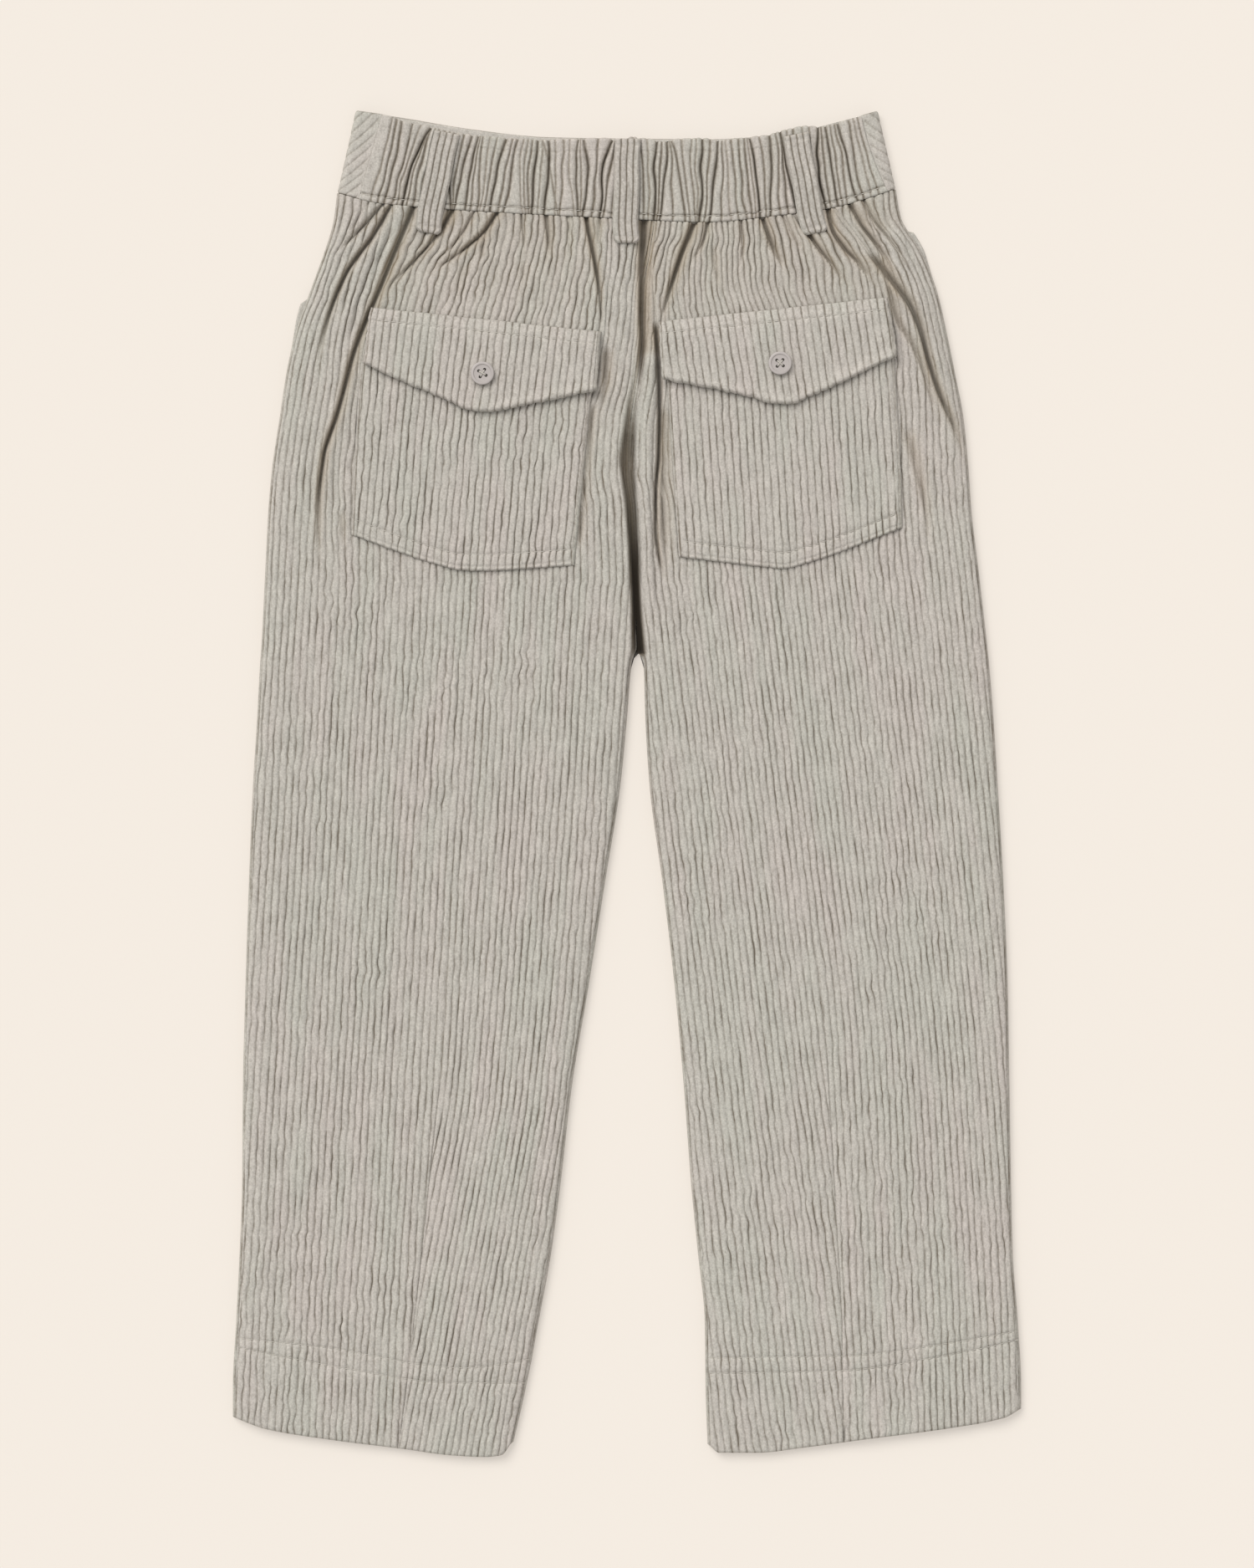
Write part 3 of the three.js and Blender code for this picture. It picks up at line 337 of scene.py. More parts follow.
# above it, where the seat folds in on itself
seatGap = ([(7.6, 268), (7, 243), (6.8, 225), (7.2, 211), (6.6, 195), (4.6, 180)],
           2.1, -4.5, 1.4, 0.2, 2.6, 0.3)
folds = {
    "left": foldsOf(
        ([(-118, 275), (-126, 266), (-135, 257), (-143, 250)], 1.1, -2.4, 1.2, 0.4),
        ([(-124, 277), (-133, 263), (-140, 254)], 0.8, -1, 0.4, 0.2),
        ([(-114, 274), (-121, 262), (-134, 244), (-142, 225), (-145.5, 212), (-149, 192)],
         1.3, -3.6, 2.6, 0.9),
        ([(-102, 276), (-109, 259), (-117.5, 238), (-124.8, 221), (-130.5, 206), (-138, 178), (-145, 156),
          (-147.5, 130), (-147.5, 98)], 1.5, -3.7, 2.6, 0.8, 2.6, 0.3),
        ([(-127.5, 178), (-128.7, 168), (-128.7, 156)], 0.9, -1.5, 0.2, 0),
        ([(-136.4, 127), (-136, 120), (-135.4, 112)], 0.9, -1.5, 0.2, 0),
        ([(-84.5, 272), (-94, 258), (-104, 247), (-112, 239), (-119, 230)], 1.2, -2.6, 1.4, 0.6),
        ([(-85, 274), (-87, 267), (-91, 260)], 1.7, -2.4, 0.6, 0),
        ([(-74, 271), (-80, 261), (-89, 251), (-95, 246)], 0.9, -1.8, 0.8, 0.4),
        ([(-63, 271.5), (-68, 264), (-78, 255), (-88, 248), (-99, 242)], 1.2, -3.4, 1.6, 0.8),
        ([(-50.5, 271), (-49.5, 261), (-49, 250)], 0.9, -1.3, 0.5, 0.2),
        ([(-39, 272), (-38, 264), (-37.5, 256), (-40, 246)], 1.3, -2.2, 0.9, 0.4),
        ([(-68, 260), (-69.5, 254), (-70, 248)], 1.1, -1.4, 0.3, 0.2),
        ([(-28, 271), (-27.5, 259), (-29, 246)], 0.9, -1, 0.5, 0.2),
        ([(-20, 271.5), (-18, 261), (-15, 246), (-13, 231), (-11.6, 212)], 1.15, -3.7, 1.4, 0.6),
        ([(-13, 270.5), (-13.5, 262), (-14, 255)], 0.9, -1.7, 0.5, 0.2),
        ([(-50, 248), (-50, 240), (-51, 230)], 1.2, -0.7, 0.2, 0.2),
        ([(-79, 246), (-80.5, 238), (-82, 229)], 1.3, -0.8, 0.2, 0.2),
        seatGap,
        legGap,
        ([(-10.2, 205), (-10.6, 193), (-12.6, 178)], 1.7, -2.4, 0.4, 0.2),
        ([(-16.8, 178), (-18.4, 160), (-20.4, 140), (-23.2, 112)], 1.2, -1.9, 0, 0, 2, 0.1),
        ([(-107, 276), (-128, 240), (-143, 190)], 4, 1.8, 0, 0),
        ([(-125, 278), (-143, 243), (-154, 200)], 4, 1, 0, 0),
        ([(-2, 262), (-3, 235), (-4, 190)], 5, 1.2, 0, 0),
    ),
    "right": foldsOf(
        ([(11, 203), (9.2, 140), (12, 52)], 3.7, 3.2, 0, 0),
        ([(13.8, 216), (15, 196), (15.3, 176), (14.8, 156), (13.6, 141), (13.4, 122), (18.5, 92)],
         1.2, -4.2, 0.8, 0.2, 2.6, 0.2),
        seatGap,
        legGap,
        ([(17.6, 176), (17, 140), (17.4, 120), (20, 98)], 2.2, -2.4, 0.3, 0.2, 2, 0.35),
        ([(33, 270.5), (29, 261), (25.5, 252), (21.6, 240), (17.5, 226), (15, 214)], 1.5, -3.9, 2.6, 0.7),
        ([(38.5, 269), (37, 261), (34.5, 255), (30, 248)], 1.1, -2, 0.8, 0.3),
        ([(54.5, 268), (55, 257), (54, 246)], 0.9, -1.5, 0.6, 0.3),
        ([(41, 254), (42.5, 244), (45.5, 232)], 1.1, -1.1, 0.3, 0.2),
        ([(64.6, 270), (68, 260), (71.5, 252), (77, 244)], 1.3, -3.4, 1.6, 0.5),
        ([(74, 271), (80, 260), (88, 248)], 1.1, -1.2, 0.6, 0.2),
        ([(83, 267), (91, 256), (97.5, 248), (102, 242), (110, 235)], 1.15, -3, 1.7, 0.6),
        ([(95.6, 274), (98, 264), (104, 255), (110, 249), (116, 241), (121, 234)], 1.3, -3.7, 2.2, 0.6),
        ([(107, 275), (113, 265), (119, 257), (124, 250), (130, 240)], 1.15, -3.2, 1.8, 0.5),
        ([(113, 278), (117, 270), (125, 260), (133, 248), (141, 234)], 1.1, -2, 1, 0.4),
        ([(119, 249), (127, 239), (135, 228), (140, 216), (144, 201), (149, 186), (156, 170), (162, 151)],
         1.6, -4, 1.7, 1.1, 2.6, 0.35),
        ([(125, 236), (129, 221), (136, 210), (141, 198), (146, 181), (153, 164)], 1.2, -2.2, 0.8, 0.4),
        ([(128, 262), (151, 200), (163, 158)], 4, 1.6, 0, 0),
        ([(134, 166), (139, 147), (142.5, 130), (144, 110)], 1.6, -2, 0.3, 0.3),
    ),
}
# how a fold starts and runs out: runs past its ends, shares of its width to its left and right and at
# its foot, and the place and width of its bulges in half widths
foldRun = {"before": 5, "after": 2, "leftSide": 0.7, "rightSide": 1.15, "footWidth": 0.6,
           "bulgeAt": 2.2, "bulgeWidth": 1.5}


def foldX(path, y):  # where a fold runs at each height
    return curveOf([{"at": height, "x": x} for x, height in path[::-1]], "x", y)


def foldEnds(fold):  # heights of its top and foot
    return fold["path"][0][1], fold["path"][-1][1]


def foldHeight(side, x, y, ridgesOnly=False, reach=1):
    # each fold: a bell across its path, eased in at its start and out along its tail; a bulge is a
    # wider bell beside it; a longer reach widens the folds and leaves out the bulges
    run = foldRun
    height = np.zeros(np.broadcast(x, y).shape)
    gap = next(fold for fold in folds[side] if fold["path"] is legGap[0])
    for fold in folds[side]:
        if ridgesOnly and fold["height"] < 0:
            continue
        top, foot = foldEnds(fold)
        middle = foldX(fold["path"], y)
        lean = foldX(fold["path"], y + 1) - middle
        across = (x - middle) / np.hypot(1, lean)
        start = 1 - smoothStep(top - fold["lead"], top + run["before"], y)
        end = smoothStep(foot - run["after"], foot + fold["tail"] * (top - foot), y)
        width = curveOf(gapWidth, "half", y) if fold is gap else fold["width"]
        if fold is not gap:
            width = width * reach * mix(run["footWidth"], 1, np.clip((y - foot) / (top - foot), 0, 1))
            if fold["height"] < 0:
                width = width * np.where(across < 0, run["leftSide"], run["rightSide"])
        shape = fold["height"] * np.exp(-(np.abs(across / width) ** fold["steep"]))
        if reach == 1:
            for way in (-1, 1):
                beside = across + way * run["bulgeAt"] * width
                shape = shape + fold["bulge"] * bell(beside, run["bulgeWidth"] * width)
        height = height + shape * start * end
    return height


# the form of the back: height of the hollow under it, the runs over which it rounds off at the
# edges, and the heights between which its two halves join above the crotch
arch = {"body": 2.8, "waist": 2.1, "hem": 1.9, "edgeRun": 11, "centreRun": 4, "outerFade": 4, "innerFade": 2,
        "joined": 0.7, "joinRange": (64, 90), "seamRange": (56, 61), "sink": 0.7, "hemReach": 60,
        "waistReach": 70, "crotchReach": 30}
lowest = cloth["ply"] + cloth["gap"]  # height at which the back rests on the front


def edgeAt(side, which, y):  # outward distance of an edge from the middle
    return signs[side] * curveOf(sections, side + which, y)


def rounded(distance, run):  # quarter round from an edge to full height
    part = 1 - np.clip(distance / run, 0, 1)
    return np.sqrt(1 - part * part)


def clothHeight(side, x, y, ridgesOnly=False):
    # height of the back's inner face: a hollow between the plies, rounded off at both edges, plus the folds
    outward = signs[side] * x
    outer = np.abs(edgeAt(side, "Outer", y) - outward)
    inner = np.abs(outward - edgeAt(side, "Inner", y))
    steepen = smoothStep(levels["crotch"] - arch["crotchReach"], levels["crotch"], y)
    waist = smoothStep(levels["seam"] - arch["waistReach"], levels["seam"], y)
    hem = 1 - smoothStep(levels["hem"], levels["hem"] + arch["hemReach"], y)
    hollow = mix(mix(arch["body"], arch["waist"], waist), arch["hem"], hem)
    centre = rounded(inner, mix(arch["edgeRun"], arch["centreRun"], steepen))
    if not ridgesOnly:
        centre = mix(centre, 1, arch["joined"] * smoothStep(*arch["joinRange"], y))
    crown = rounded(outer, arch["edgeRun"]) * centre
    seamed = 0 if ridgesOnly else smoothStep(*arch["seamRange"], y)
    edges = np.minimum(1, outer / arch["outerFade"]) * np.minimum(1, inner / arch["innerFade"] + seamed)
    deepest = lowest if ridgesOnly else lowest - cloth["wall"] * arch["sink"] * edges
    return np.maximum(deepest, lowest + hollow * crown + foldHeight(side, x, y, ridgesOnly) * edges)


# mesh of a piece of cloth: a fine outer face over a plain inner one, closed all round
def zipStrip(fine, coarse, flip):
    # triangles between two lines of points that share their ends: each fine step takes its nearest
    # coarse point
    at = (np.arange(len(fine) - 1) + 0.5) / (len(fine) - 1)
    middles = (np.arange(len(coarse) - 1) + 0.5) / (len(coarse) - 1)
    nearest = np.searchsorted(middles, at)
    first = np.stack([fine[:-1], fine[1:], coarse[nearest]], 1)
    change = np.searchsorted(nearest, np.arange(len(coarse) - 1), side="right")
    second = np.stack([coarse[:-1], fine[change], coarse[1:]], 1)
    both = np.concatenate([first, second])
    return both[:, ::-1] if flip else both


def gridFaces(ids, flip):  # two triangles for each cell of a grid
    a, b, c, d = ids[:-1, :-1], ids[:-1, 1:], ids[1:, 1:], ids[1:, :-1]
    cells = np.concatenate([np.stack([a, b, c], -1).reshape(-1, 3), np.stack([a, c, d], -1).reshape(-1, 3)])
    return cells[:, ::-1] if flip else cells


tops = {}  # outer faces, kept for the stitching


def clothMesh(name, node, over, under, facts, flip=False):
    # both faces are grids of points with their edges in common order; where neighbours in a row of the
    # outer face fall together they become one point
    tops[name] = over.reshape(-1, 3)
    rows, columns = over.shape[:2]
    ids = np.arange(rows * columns).reshape(rows, columns)
    fresh = np.ones((rows, columns), bool)
    fresh[:, 1:] = np.abs(np.diff(over, axis=1)).sum(-1) > 1e-6
    ids = np.maximum.accumulate(np.where(fresh, ids, -1), axis=1)
    low = np.arange(under.shape[0] * under.shape[1]).reshape(under.shape[:2]) + rows * columns
    faces = np.concatenate([
        gridFaces(ids, flip),
        gridFaces(low, not flip),
        zipStrip(ids[0], low[0], not flip),
        zipStrip(ids[-1], low[-1], flip),
        zipStrip(ids[:, 0], low[:, 0], flip),
        zipStrip(ids[:, -1], low[:, -1], not flip),
    ])
    a, b, c = faces.T
    faces = faces[(a != b) & (b != c) & (a != c)]
    used, faces = np.unique(faces, return_inverse=True)
    points = np.concatenate([over.reshape(-1, 3), under.reshape(-1, 3)])[used]
    values = {}
    for key, value in facts.items():
        outer = np.broadcast_to(value, (rows, columns)).ravel()
        values[key] = np.concatenate([outer, np.zeros(low.size)])[used]
    piece = meshOf(name, points, faces.reshape(-1, 3), values, corduroy, "corduroy")
    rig.replaces(piece, node)


def meshOf(name, points, faces, values, material, slot):
    # points in millimetres become a smooth-shaded mesh in metres, with its values kept on its points
    mesh = bpy.data.meshes.new(name)
    mesh.vertices.add(len(points))
    mesh.vertices.foreach_set("co", (points * mm).astype(np.float32).ravel())
    mesh.loops.add(faces.size)
    mesh.loops.foreach_set("vertex_index", faces.astype(np.int32).ravel())
    mesh.polygons.add(len(faces))
    mesh.polygons.foreach_set("loop_start", np.arange(0, faces.size, 3, dtype=np.int32))
    mesh.polygons.foreach_set("loop_total", np.full(len(faces), 3, np.int32))
    mesh.polygons.foreach_set("use_smooth", np.ones(len(faces), bool))
    mesh.update(calc_edges=True)
    mesh.validate()
    for key, value in values.items():
        mesh.attributes.new(key, "FLOAT", "POINT").data.foreach_set("value", value.astype(np.float32))
    mesh.materials.append(material)
    piece = bpy.data.objects.new(name, mesh)
    bpy.context.scene.collection.objects.link(piece)
    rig.ride(piece, "root")
    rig.slot(piece, slot)
    return piece


def waleProfile(phase):  # 0 in the groove, 1 on the rounded top
    return 1 - np.abs(2 * (phase % 1) - 1) ** cloth["fullness"]


def edgeRound(*distances):  # turned edge: a quarter round near each side
    shape = 1
    for distance in distances:
        shape = shape * rounded(distance, cloth["edge"])
    return shape


edgeSteps = np.array([0, 0.12, 0.32, 0.62, 1]) * cloth["edge"]  # extra lines beside a turned edge


# wrinkled surface shared by every piece: how the wales wander, swell and sink
def wander(seed, wale, y, amount):
    # sideways, in wales: a slow drift that neighbours share, and a short waver of each wale, stronger
    # in patches
    slow = softNoise(seed, wale, y, 3.5, 34)
    quick = softNoise(seed + 1, wale, y, 0.75, 2.7)
    longer = softNoise(seed + 8, wale, y, 0.9, 7)
    patchy = 0.6 + 0.6 * np.clip(softNoise(seed + 9, wale, y, 5, 22), 0, 1.3)
    return amount * (0.05 * slow + patchy * (0.065 * quick + 0.035 * longer))


def crinkle(seed, wale, y, amount):
    # swell of the wales, sink of the grooves in short runs, and soft rumples of the cloth itself
    swell = 0.16 * softNoise(seed + 2, wale, y, 1, 6)
    sink = np.clip(softNoise(seed + 3, wale, y, 0.7, 9) - 0.7, 0, 1)
    rumple = 0.13 * softNoise(seed + 4, wale, y, 2.2, 9) + 0.2 * softNoise(seed + 5, wale, y, 7, 42)
    return amount * swell, amount * 0.45 * sink, amount * rumple


def tintOf(seed, wale, y):  # soft patches of colour that follow the wales
    return 0.6 * softNoise(seed + 6, wale, y, 1.3, 26) + 0.5 * softNoise(seed + 7, wale, y, 5, 30)


corduroyLook = {
    "green": (0.444, 0.432, 0.39),
    "rose": (0.468, 0.432, 0.4),
    "warm": (0.34, 0.267, 0.18),  # painted warm brown shade near the folds and in the gathers, and a warmer tone over the upper seat
    # painted shade in the grooves of the wales, partly the darker ground between them
    "groove": (0.18, 0.155, 0.123),
    # painted deep shade at the bottom of creases and troughs
    "crease": (0.016, 0.012, 0.008),
    "tintShare": 0.32, "patchShare": 1.1, "streakShare": 0.4, "pileShade": 0.7, "frayShare": 1.3,
    "grooveShare": 0.85, "warmShare": 0.6,
    "patchSize": 95, "streakSize": 620, "pileSize": 1250, "fraySize": 900,  # noise scales, higher is finer
    "pileBump": 0.3, "pileHeight": 0.0004, "streakBump": 0.6,
    "roughness": 0.92, "specular": 0.15, "sheen": 0.12, "sheenRoughness": 0.55, "sheenTint": (0.9, 0.87, 0.8),
}


def newMaterial(name, roughness, specular):
    material = bpy.data.materials.new(name)
    material.use_nodes = True
    nodes, links = material.node_tree.nodes, material.node_tree.links
    nodes.clear()
    output = nodes.new("ShaderNodeOutputMaterial")
    shader = nodes.new("ShaderNodeBsdfPrincipled")
    shader.inputs["Roughness"].default_value = roughness
    shader.inputs["Specular IOR Level"].default_value = specular
    links.new(shader.outputs["BSDF"], output.inputs["Surface"])
    return material, nodes, links, shader


def noiseOf(nodes, links, scale, detail=2, stretch=None):  # noise on the place in the object
    place = nodes.new("ShaderNodeTexCoord").outputs["Object"]
    if stretch:
        turn = nodes.new("ShaderNodeMapping")
        turn.inputs["Scale"].default_value = stretch
        links.new(place, turn.inputs["Vector"])
        place = turn.outputs["Vector"]
    node = nodes.new("ShaderNodeTexNoise")
    node.inputs["Scale"].default_value = scale
    node.inputs["Detail"].default_value = detail
    links.new(place, node.inputs["Vector"])
    return node.outputs["Fac"]


def bumpOf(nodes, links, shader, height, strength, distance):  # fine relief that only the light sees
    bump = nodes.new("ShaderNodeBump")
    bump.inputs["Strength"].default_value = strength
    bump.inputs["Distance"].default_value = distance
    links.new(height, bump.inputs["Height"])
    links.new(bump.outputs["Normal"], shader.inputs["Normal"])


def corduroyMaterial():
    look = corduroyLook
    material, nodes, links, shader = newMaterial("corduroy", look["roughness"], look["specular"])

    def attribute(name):
        node = nodes.new("ShaderNodeAttribute")
        node.attribute_name = name
        return node.outputs["Fac"]

    def blend(factor, first, second):
        node = nodes.new("ShaderNodeMix")
        node.data_type = "RGBA"
        links.new(factor, node.inputs["Factor"])
        for socket, value in (("A", first), ("B", second)):
            target = [s for s in node.inputs if s.name == socket and s.type == "RGBA"][0]
            if isinstance(value, tuple):
                target.default_value = (*value, 1)
            else:
                links.new(value, target)
        return [s for s in node.outputs if s.type == "RGBA"][0]

    def formula(kind, first, *others, clamp=False):
        node = nodes.new("ShaderNodeMath")
        node.operation = kind
        node.use_clamp = clamp
        for i, value in enumerate((first, *others)):
            if isinstance(value, (int, float)):
                node.inputs[i].default_value = value
            else:
                links.new(value, node.inputs[i])
        return node.outputs[0]

    patches = noiseOf(nodes, links, look["patchSize"], 3, (1, 0.35, 1))  # nap brushed one way and the other
    streaks = noiseOf(nodes, links, look["streakSize"], 2, (1, 0.22, 1))  # pile combed along the wales
    pile = noiseOf(nodes, links, look["pileSize"])
    tint = formula("MULTIPLY_ADD", attribute("tint"), look["tintShare"], 0.5)
    nap = formula("MULTIPLY", formula("SUBTRACT", patches, 0.5), look["patchShare"])
    colour = blend(formula("ADD", tint, nap, clamp=True), look["green"], look["rose"])
    shade = formula("MULTIPLY_ADD", streaks, look["streakShare"], 0.5)
    shade = formula("MULTIPLY_ADD", pile, look["pileShade"], shade)
    bright = nodes.new("ShaderNodeVectorMath")
    bright.operation = "SCALE"
    links.new(colour, bright.inputs[0])
    links.new(shade, bright.inputs["Scale"])
    # ragged pile: fine noise eats into the edges of the grooves and speckles the wales
    fray = noiseOf(nodes, links, look["fraySize"], 3, (1, 0.55, 1))
    ragged = formula("MULTIPLY", formula("SUBTRACT", fray, 0.5), look["frayShare"])
    ragged = formula("ADD", attribute("groove"), ragged)
    inGroove = formula("MULTIPLY", ragged, look["grooveShare"], clamp=True)
    # the grooves take the groove colour: painted shade, partly their darker ground
    colour = blend(inGroove, bright.outputs["Vector"], look["groove"])
    # painted warm shade near the folds and in the gathers, and a warmer tone over the upper seat
    nearFold = formula("MULTIPLY", attribute("warm"), look["warmShare"], clamp=True)
    colour = blend(nearFold, colour, look["warm"])
    # painted deep shade in the creases
    colour = blend(attribute("crease"), colour, look["crease"])
    links.new(colour, shader.inputs["Base Color"])
    shader.inputs["Sheen Weight"].default_value = look["sheen"]
    shader.inputs["Sheen Roughness"].default_value = look["sheenRoughness"]
    shader.inputs["Sheen Tint"].default_value = (*look["sheenTint"], 1)
    fuzz = formula("MULTIPLY_ADD", streaks, look["streakBump"], pile)
    bumpOf(nodes, links, shader, fuzz, look["pileBump"], look["pileHeight"])
    return material


corduroy = corduroyMaterial()

# back panels: wales outward from the inner edge, rows from hem to waist; towards the waist, between the
# heights of each range, the seat is rougher, its wales taller and its grooves darker with painted shade
backLook = {
    "rowStep": 1.86, "press": 0.55, "pressWidth": 0.6, "pressDepth": 0.2, "amount": 1.0, "tableStep": 2.0,
    "swallow": 0.5, "shut": 0.02, "soft": 0.35, "dartDepth": 0.5, "dartWidth": 1.1,
    "seatRough": 0.6, "roughRange": (205, 240), "seatRelief": 0.55, "reliefRange": (215, 262),
    # seatWarm: a warmer tone over the upper seat; seatGroove: more painted shade in its grooves
    "seatWarm": 0.15, "seatGroove": 0.25, "darkRange": (205, 250),
    # how the painted shade in the creases grows with a fold's depth, and how far the painted warm shade reaches beside
    # folds
    "creaseFrom": 0.6, "creaseDepth": 5, "creaseTop": 0.66, "creaseRange": (95, 150), "warmReach": 2.6,
    "seeds": {"left": 10, "right": 30},
}
# above the flaps the wales fan outward: crowded nearer the middle, spread further out
fans = {
    "left": {"take": 7, "near": 44, "far": 106, "width": 20},
    "right": {"take": 11, "near": 42, "far": 104, "width": 20},
}


def rowHeight(side, x, level):
    # guide lines hem, two stitch rows, plain, and waist seam; a row is a straight blend of the two beside it
    guides = [
        (levels["hem"], curveOf(hemLine, "y", x)),
        (levels["stitchLow"], curveOf(hemStitches[side]["low"], "y", x)),
        (levels["stitchHigh"], curveOf(hemStitches[side]["high"], "y", x)),
        (levels["plain"], levels["plain"] + 0 * x),
        (levels["gather"], levels["gather"] + 0 * x),
        (levels["seam"], curveOf(seamLine, "y", x) - backLook["shut"]),
    ]
    return guided(guides, level)


def guided(guides, level):  # height of a row that lies at a level between guide lines
    y = guides[0][1]
    for (low, lowLine), (high, highLine) in zip(guides[:-1], guides[1:]):
        part = np.clip((level - low) / (high - low), 0, 1)
        y = np.where(level > low, mix(lowLine, highLine, part), y)
    return y


def waleTable(side, wales):
    # outward place of each wale line at evenly spaced heights: straight between guides in the leg;
    # above it a share of the width, crowded together where folds swallow wales
    count, rows = waleCount[side], grain[side]
    heights = np.arange(-336, 300, backLook["tableStep"])

    def inLeg(y):  # straight from the inner line to the dart, and from the dart to the outer line
        innerSide = wales <= count["inner"]
        y = y[:, None]
        dart = np.where(innerSide, curveOf(rows, "dartInner", y), curveOf(rows, "dartOuter", y))
        first = mix(curveOf(rows, "inner", y), dart, wales / count["inner"])
        second = mix(dart, curveOf(rows, "outer", y), (wales - count["inner"]) / count["outer"])
        return np.where(innerSide, first, second)

    table = inLeg(heights)
    top = levels["grain"]
    start, end = edgeAt(side, "Inner", top), edgeAt(side, "Outer", top)
    share = (inLeg(np.array([top]))[0] - start) / (end - start)
    for i in np.nonzero(heights > top)[0]:
        y = heights[i]
        reach = np.linspace(edgeAt(side, "Inner", y), edgeAt(side, "Outer", y), 800)
        crowd = np.ones(len(reach))
        for fold in folds[side]:
            high, low = foldEnds(fold)
            if fold["takes"] and y > low:
                amount = min(1, (y - low) / (high - low)) * fold["takes"] * cloth["pitch"]
                core = backLook["swallow"] * fold["width"]
                away = reach - signs[side] * foldX(fold["path"], y)
                crowd += amount * bell(away, core) / (core * math.sqrt(math.pi))
        fan = fans[side]
        drawn = fan["take"] / (fan["width"] * math.sqrt(math.pi))
        drawn *= smoothStep(levels["gather"], levels["seam"], y)
        for place, way in (("near", 1), ("far", -1)):
            crowd += way * drawn * bell(reach - fan[place], fan["width"])
        total = np.concatenate([[0], np.cumsum((crowd[1:] + crowd[:-1]) / 2)])
        table[i] = np.interp(share, total / total[-1], reach)
        beyond = (share < 0) | (share > 1)
        table[i] = np.where(beyond, mix(reach[0], reach[-1], share), table[i])
    return heights, table


def turnedSides(across, wales):
    # adds the lines of a turned edge on both sides, and gives them the numbers of the wales beside them
    edge, extra = cloth["edge"], len(edgeSteps) - 1
    first = across[:, :1] - edge + edgeSteps[None, :-1]
    last = across[:, -1:] + edge - edgeSteps[::-1][None, 1:]
    numbers = np.concatenate([np.full(extra, wales[0]), wales, np.full(extra, wales[-1])])
    return np.concatenate([first, across, last], axis=1), numbers


def roomOf(across, numbers, pitch, fromSides):
    # 1 where a wale has its full width, 0 where it is crowded shut or meets a side
    width = np.gradient(across, axis=1) / np.maximum(np.gradient(numbers)[None, :], 1e-3)
    free = smoothStep(0.2, 0.75, width / pitch)
    return free * smoothStep(0.1, 1.2, fromSides[0]) * smoothStep(0.1, 1.2, fromSides[1])


def innerFace(side):
    # plain inner face of the back, a little inside its outline and under the lowest spot nearby
    turned, joined, below = 2.2, 0.3, 0.2
    across = np.linspace(0, 1, 44)
    level = mix(levels["hem"] + turned, levels["seam"] - joined, np.linspace(0, 1, 40)[:, None])
    y = level + 0 * across
    for _ in range(4):
        inset = mix(turned, joined, smoothStep(56, 62, y))
        x = signs[side] * mix(edgeAt(side, "Inner", y) + inset, edgeAt(side, "Outer", y) - turned, across)
        y = rowHeight(side, x, level)
    nearby = [(stepX, stepY) for stepX in (-4, -2, 0, 2, 4) for stepY in (-12, -6, 0, 6, 12)]
    z = np.minimum.reduce([clothHeight(side, x + stepX, y + stepY) for stepX, stepY in nearby])
    return np.stack([x, y, np.maximum(z - below, lowest)], -1)


def backRows():  # levels of the rows: even ones, and closer ones at the stitching and the turned edges
    edge, whole = cloth["edge"], levels["seam"] - levels["hem"]
    rows = np.arange(edge + 1, whole - edge - 1, backLook["rowStep"])
    around = np.array([-1.1, -0.55, 0, 0.55, 1.1])
    stitched = [levels[row] - levels["hem"] + around for row in ("stitchLow", "stitchHigh")]
    for close in stitched:
        rows = rows[(rows < close[0] - 0.5) | (rows > close[-1] + 0.5)]
    return np.sort(np.concatenate([rows, *stitched, edgeSteps, whole - edgeSteps])) + levels["hem"]


def waleLines(side, wales, level):
    # outward place and height of every wale line at every row
    sign, count, edge = signs[side], waleCount[side], cloth["edge"]
    heights, table = waleTable(side, wales)

    def lineAt(y):
        part = (y - heights[0]) / backLook["tableStep"]
        i = np.clip(np.floor(part).astype(int), 0, len(heights) - 2)
        column = np.arange(len(wales))[None, :]
        return mix(table[i, column], table[i + 1, column], part - i)

    y = level + 0 * wales
    for _ in range(5):
        y = rowHeight(side, sign * lineAt(y), level)
    out = lineAt(y)
    pitch = np.clip(np.gradient(out, wales, axis=1), 0, cloth["pitch"])
    rough = 1 + backLook["seatRough"] * smoothStep(*backLook["roughRange"], y)
    out = out + wander(backLook["seeds"][side], wales, y, backLook["amount"]) * rough * pitch
    # wales end at the dart, from both sides of it, and at the turned edges
    dart = curveOf(dartLine[side], "x", y)
    inDart = y < dartLine[side][-1]["at"]
    out = np.where(inDart & (wales < count["inner"]), np.minimum(out, dart), out)
    out = np.where(inDart & (wales > count["inner"]), np.maximum(out, dart), out)
    out = np.where(inDart & (wales == count["inner"]), dart, out)
    clear = np.where(y > levels["crotch"], backLook["shut"], 0)
    first = edgeAt(side, "Inner", y) + clear + edge
    last = edgeAt(side, "Outer", y) - edge
    return np.maximum.accumulate(np.clip(out, first, last), axis=1)


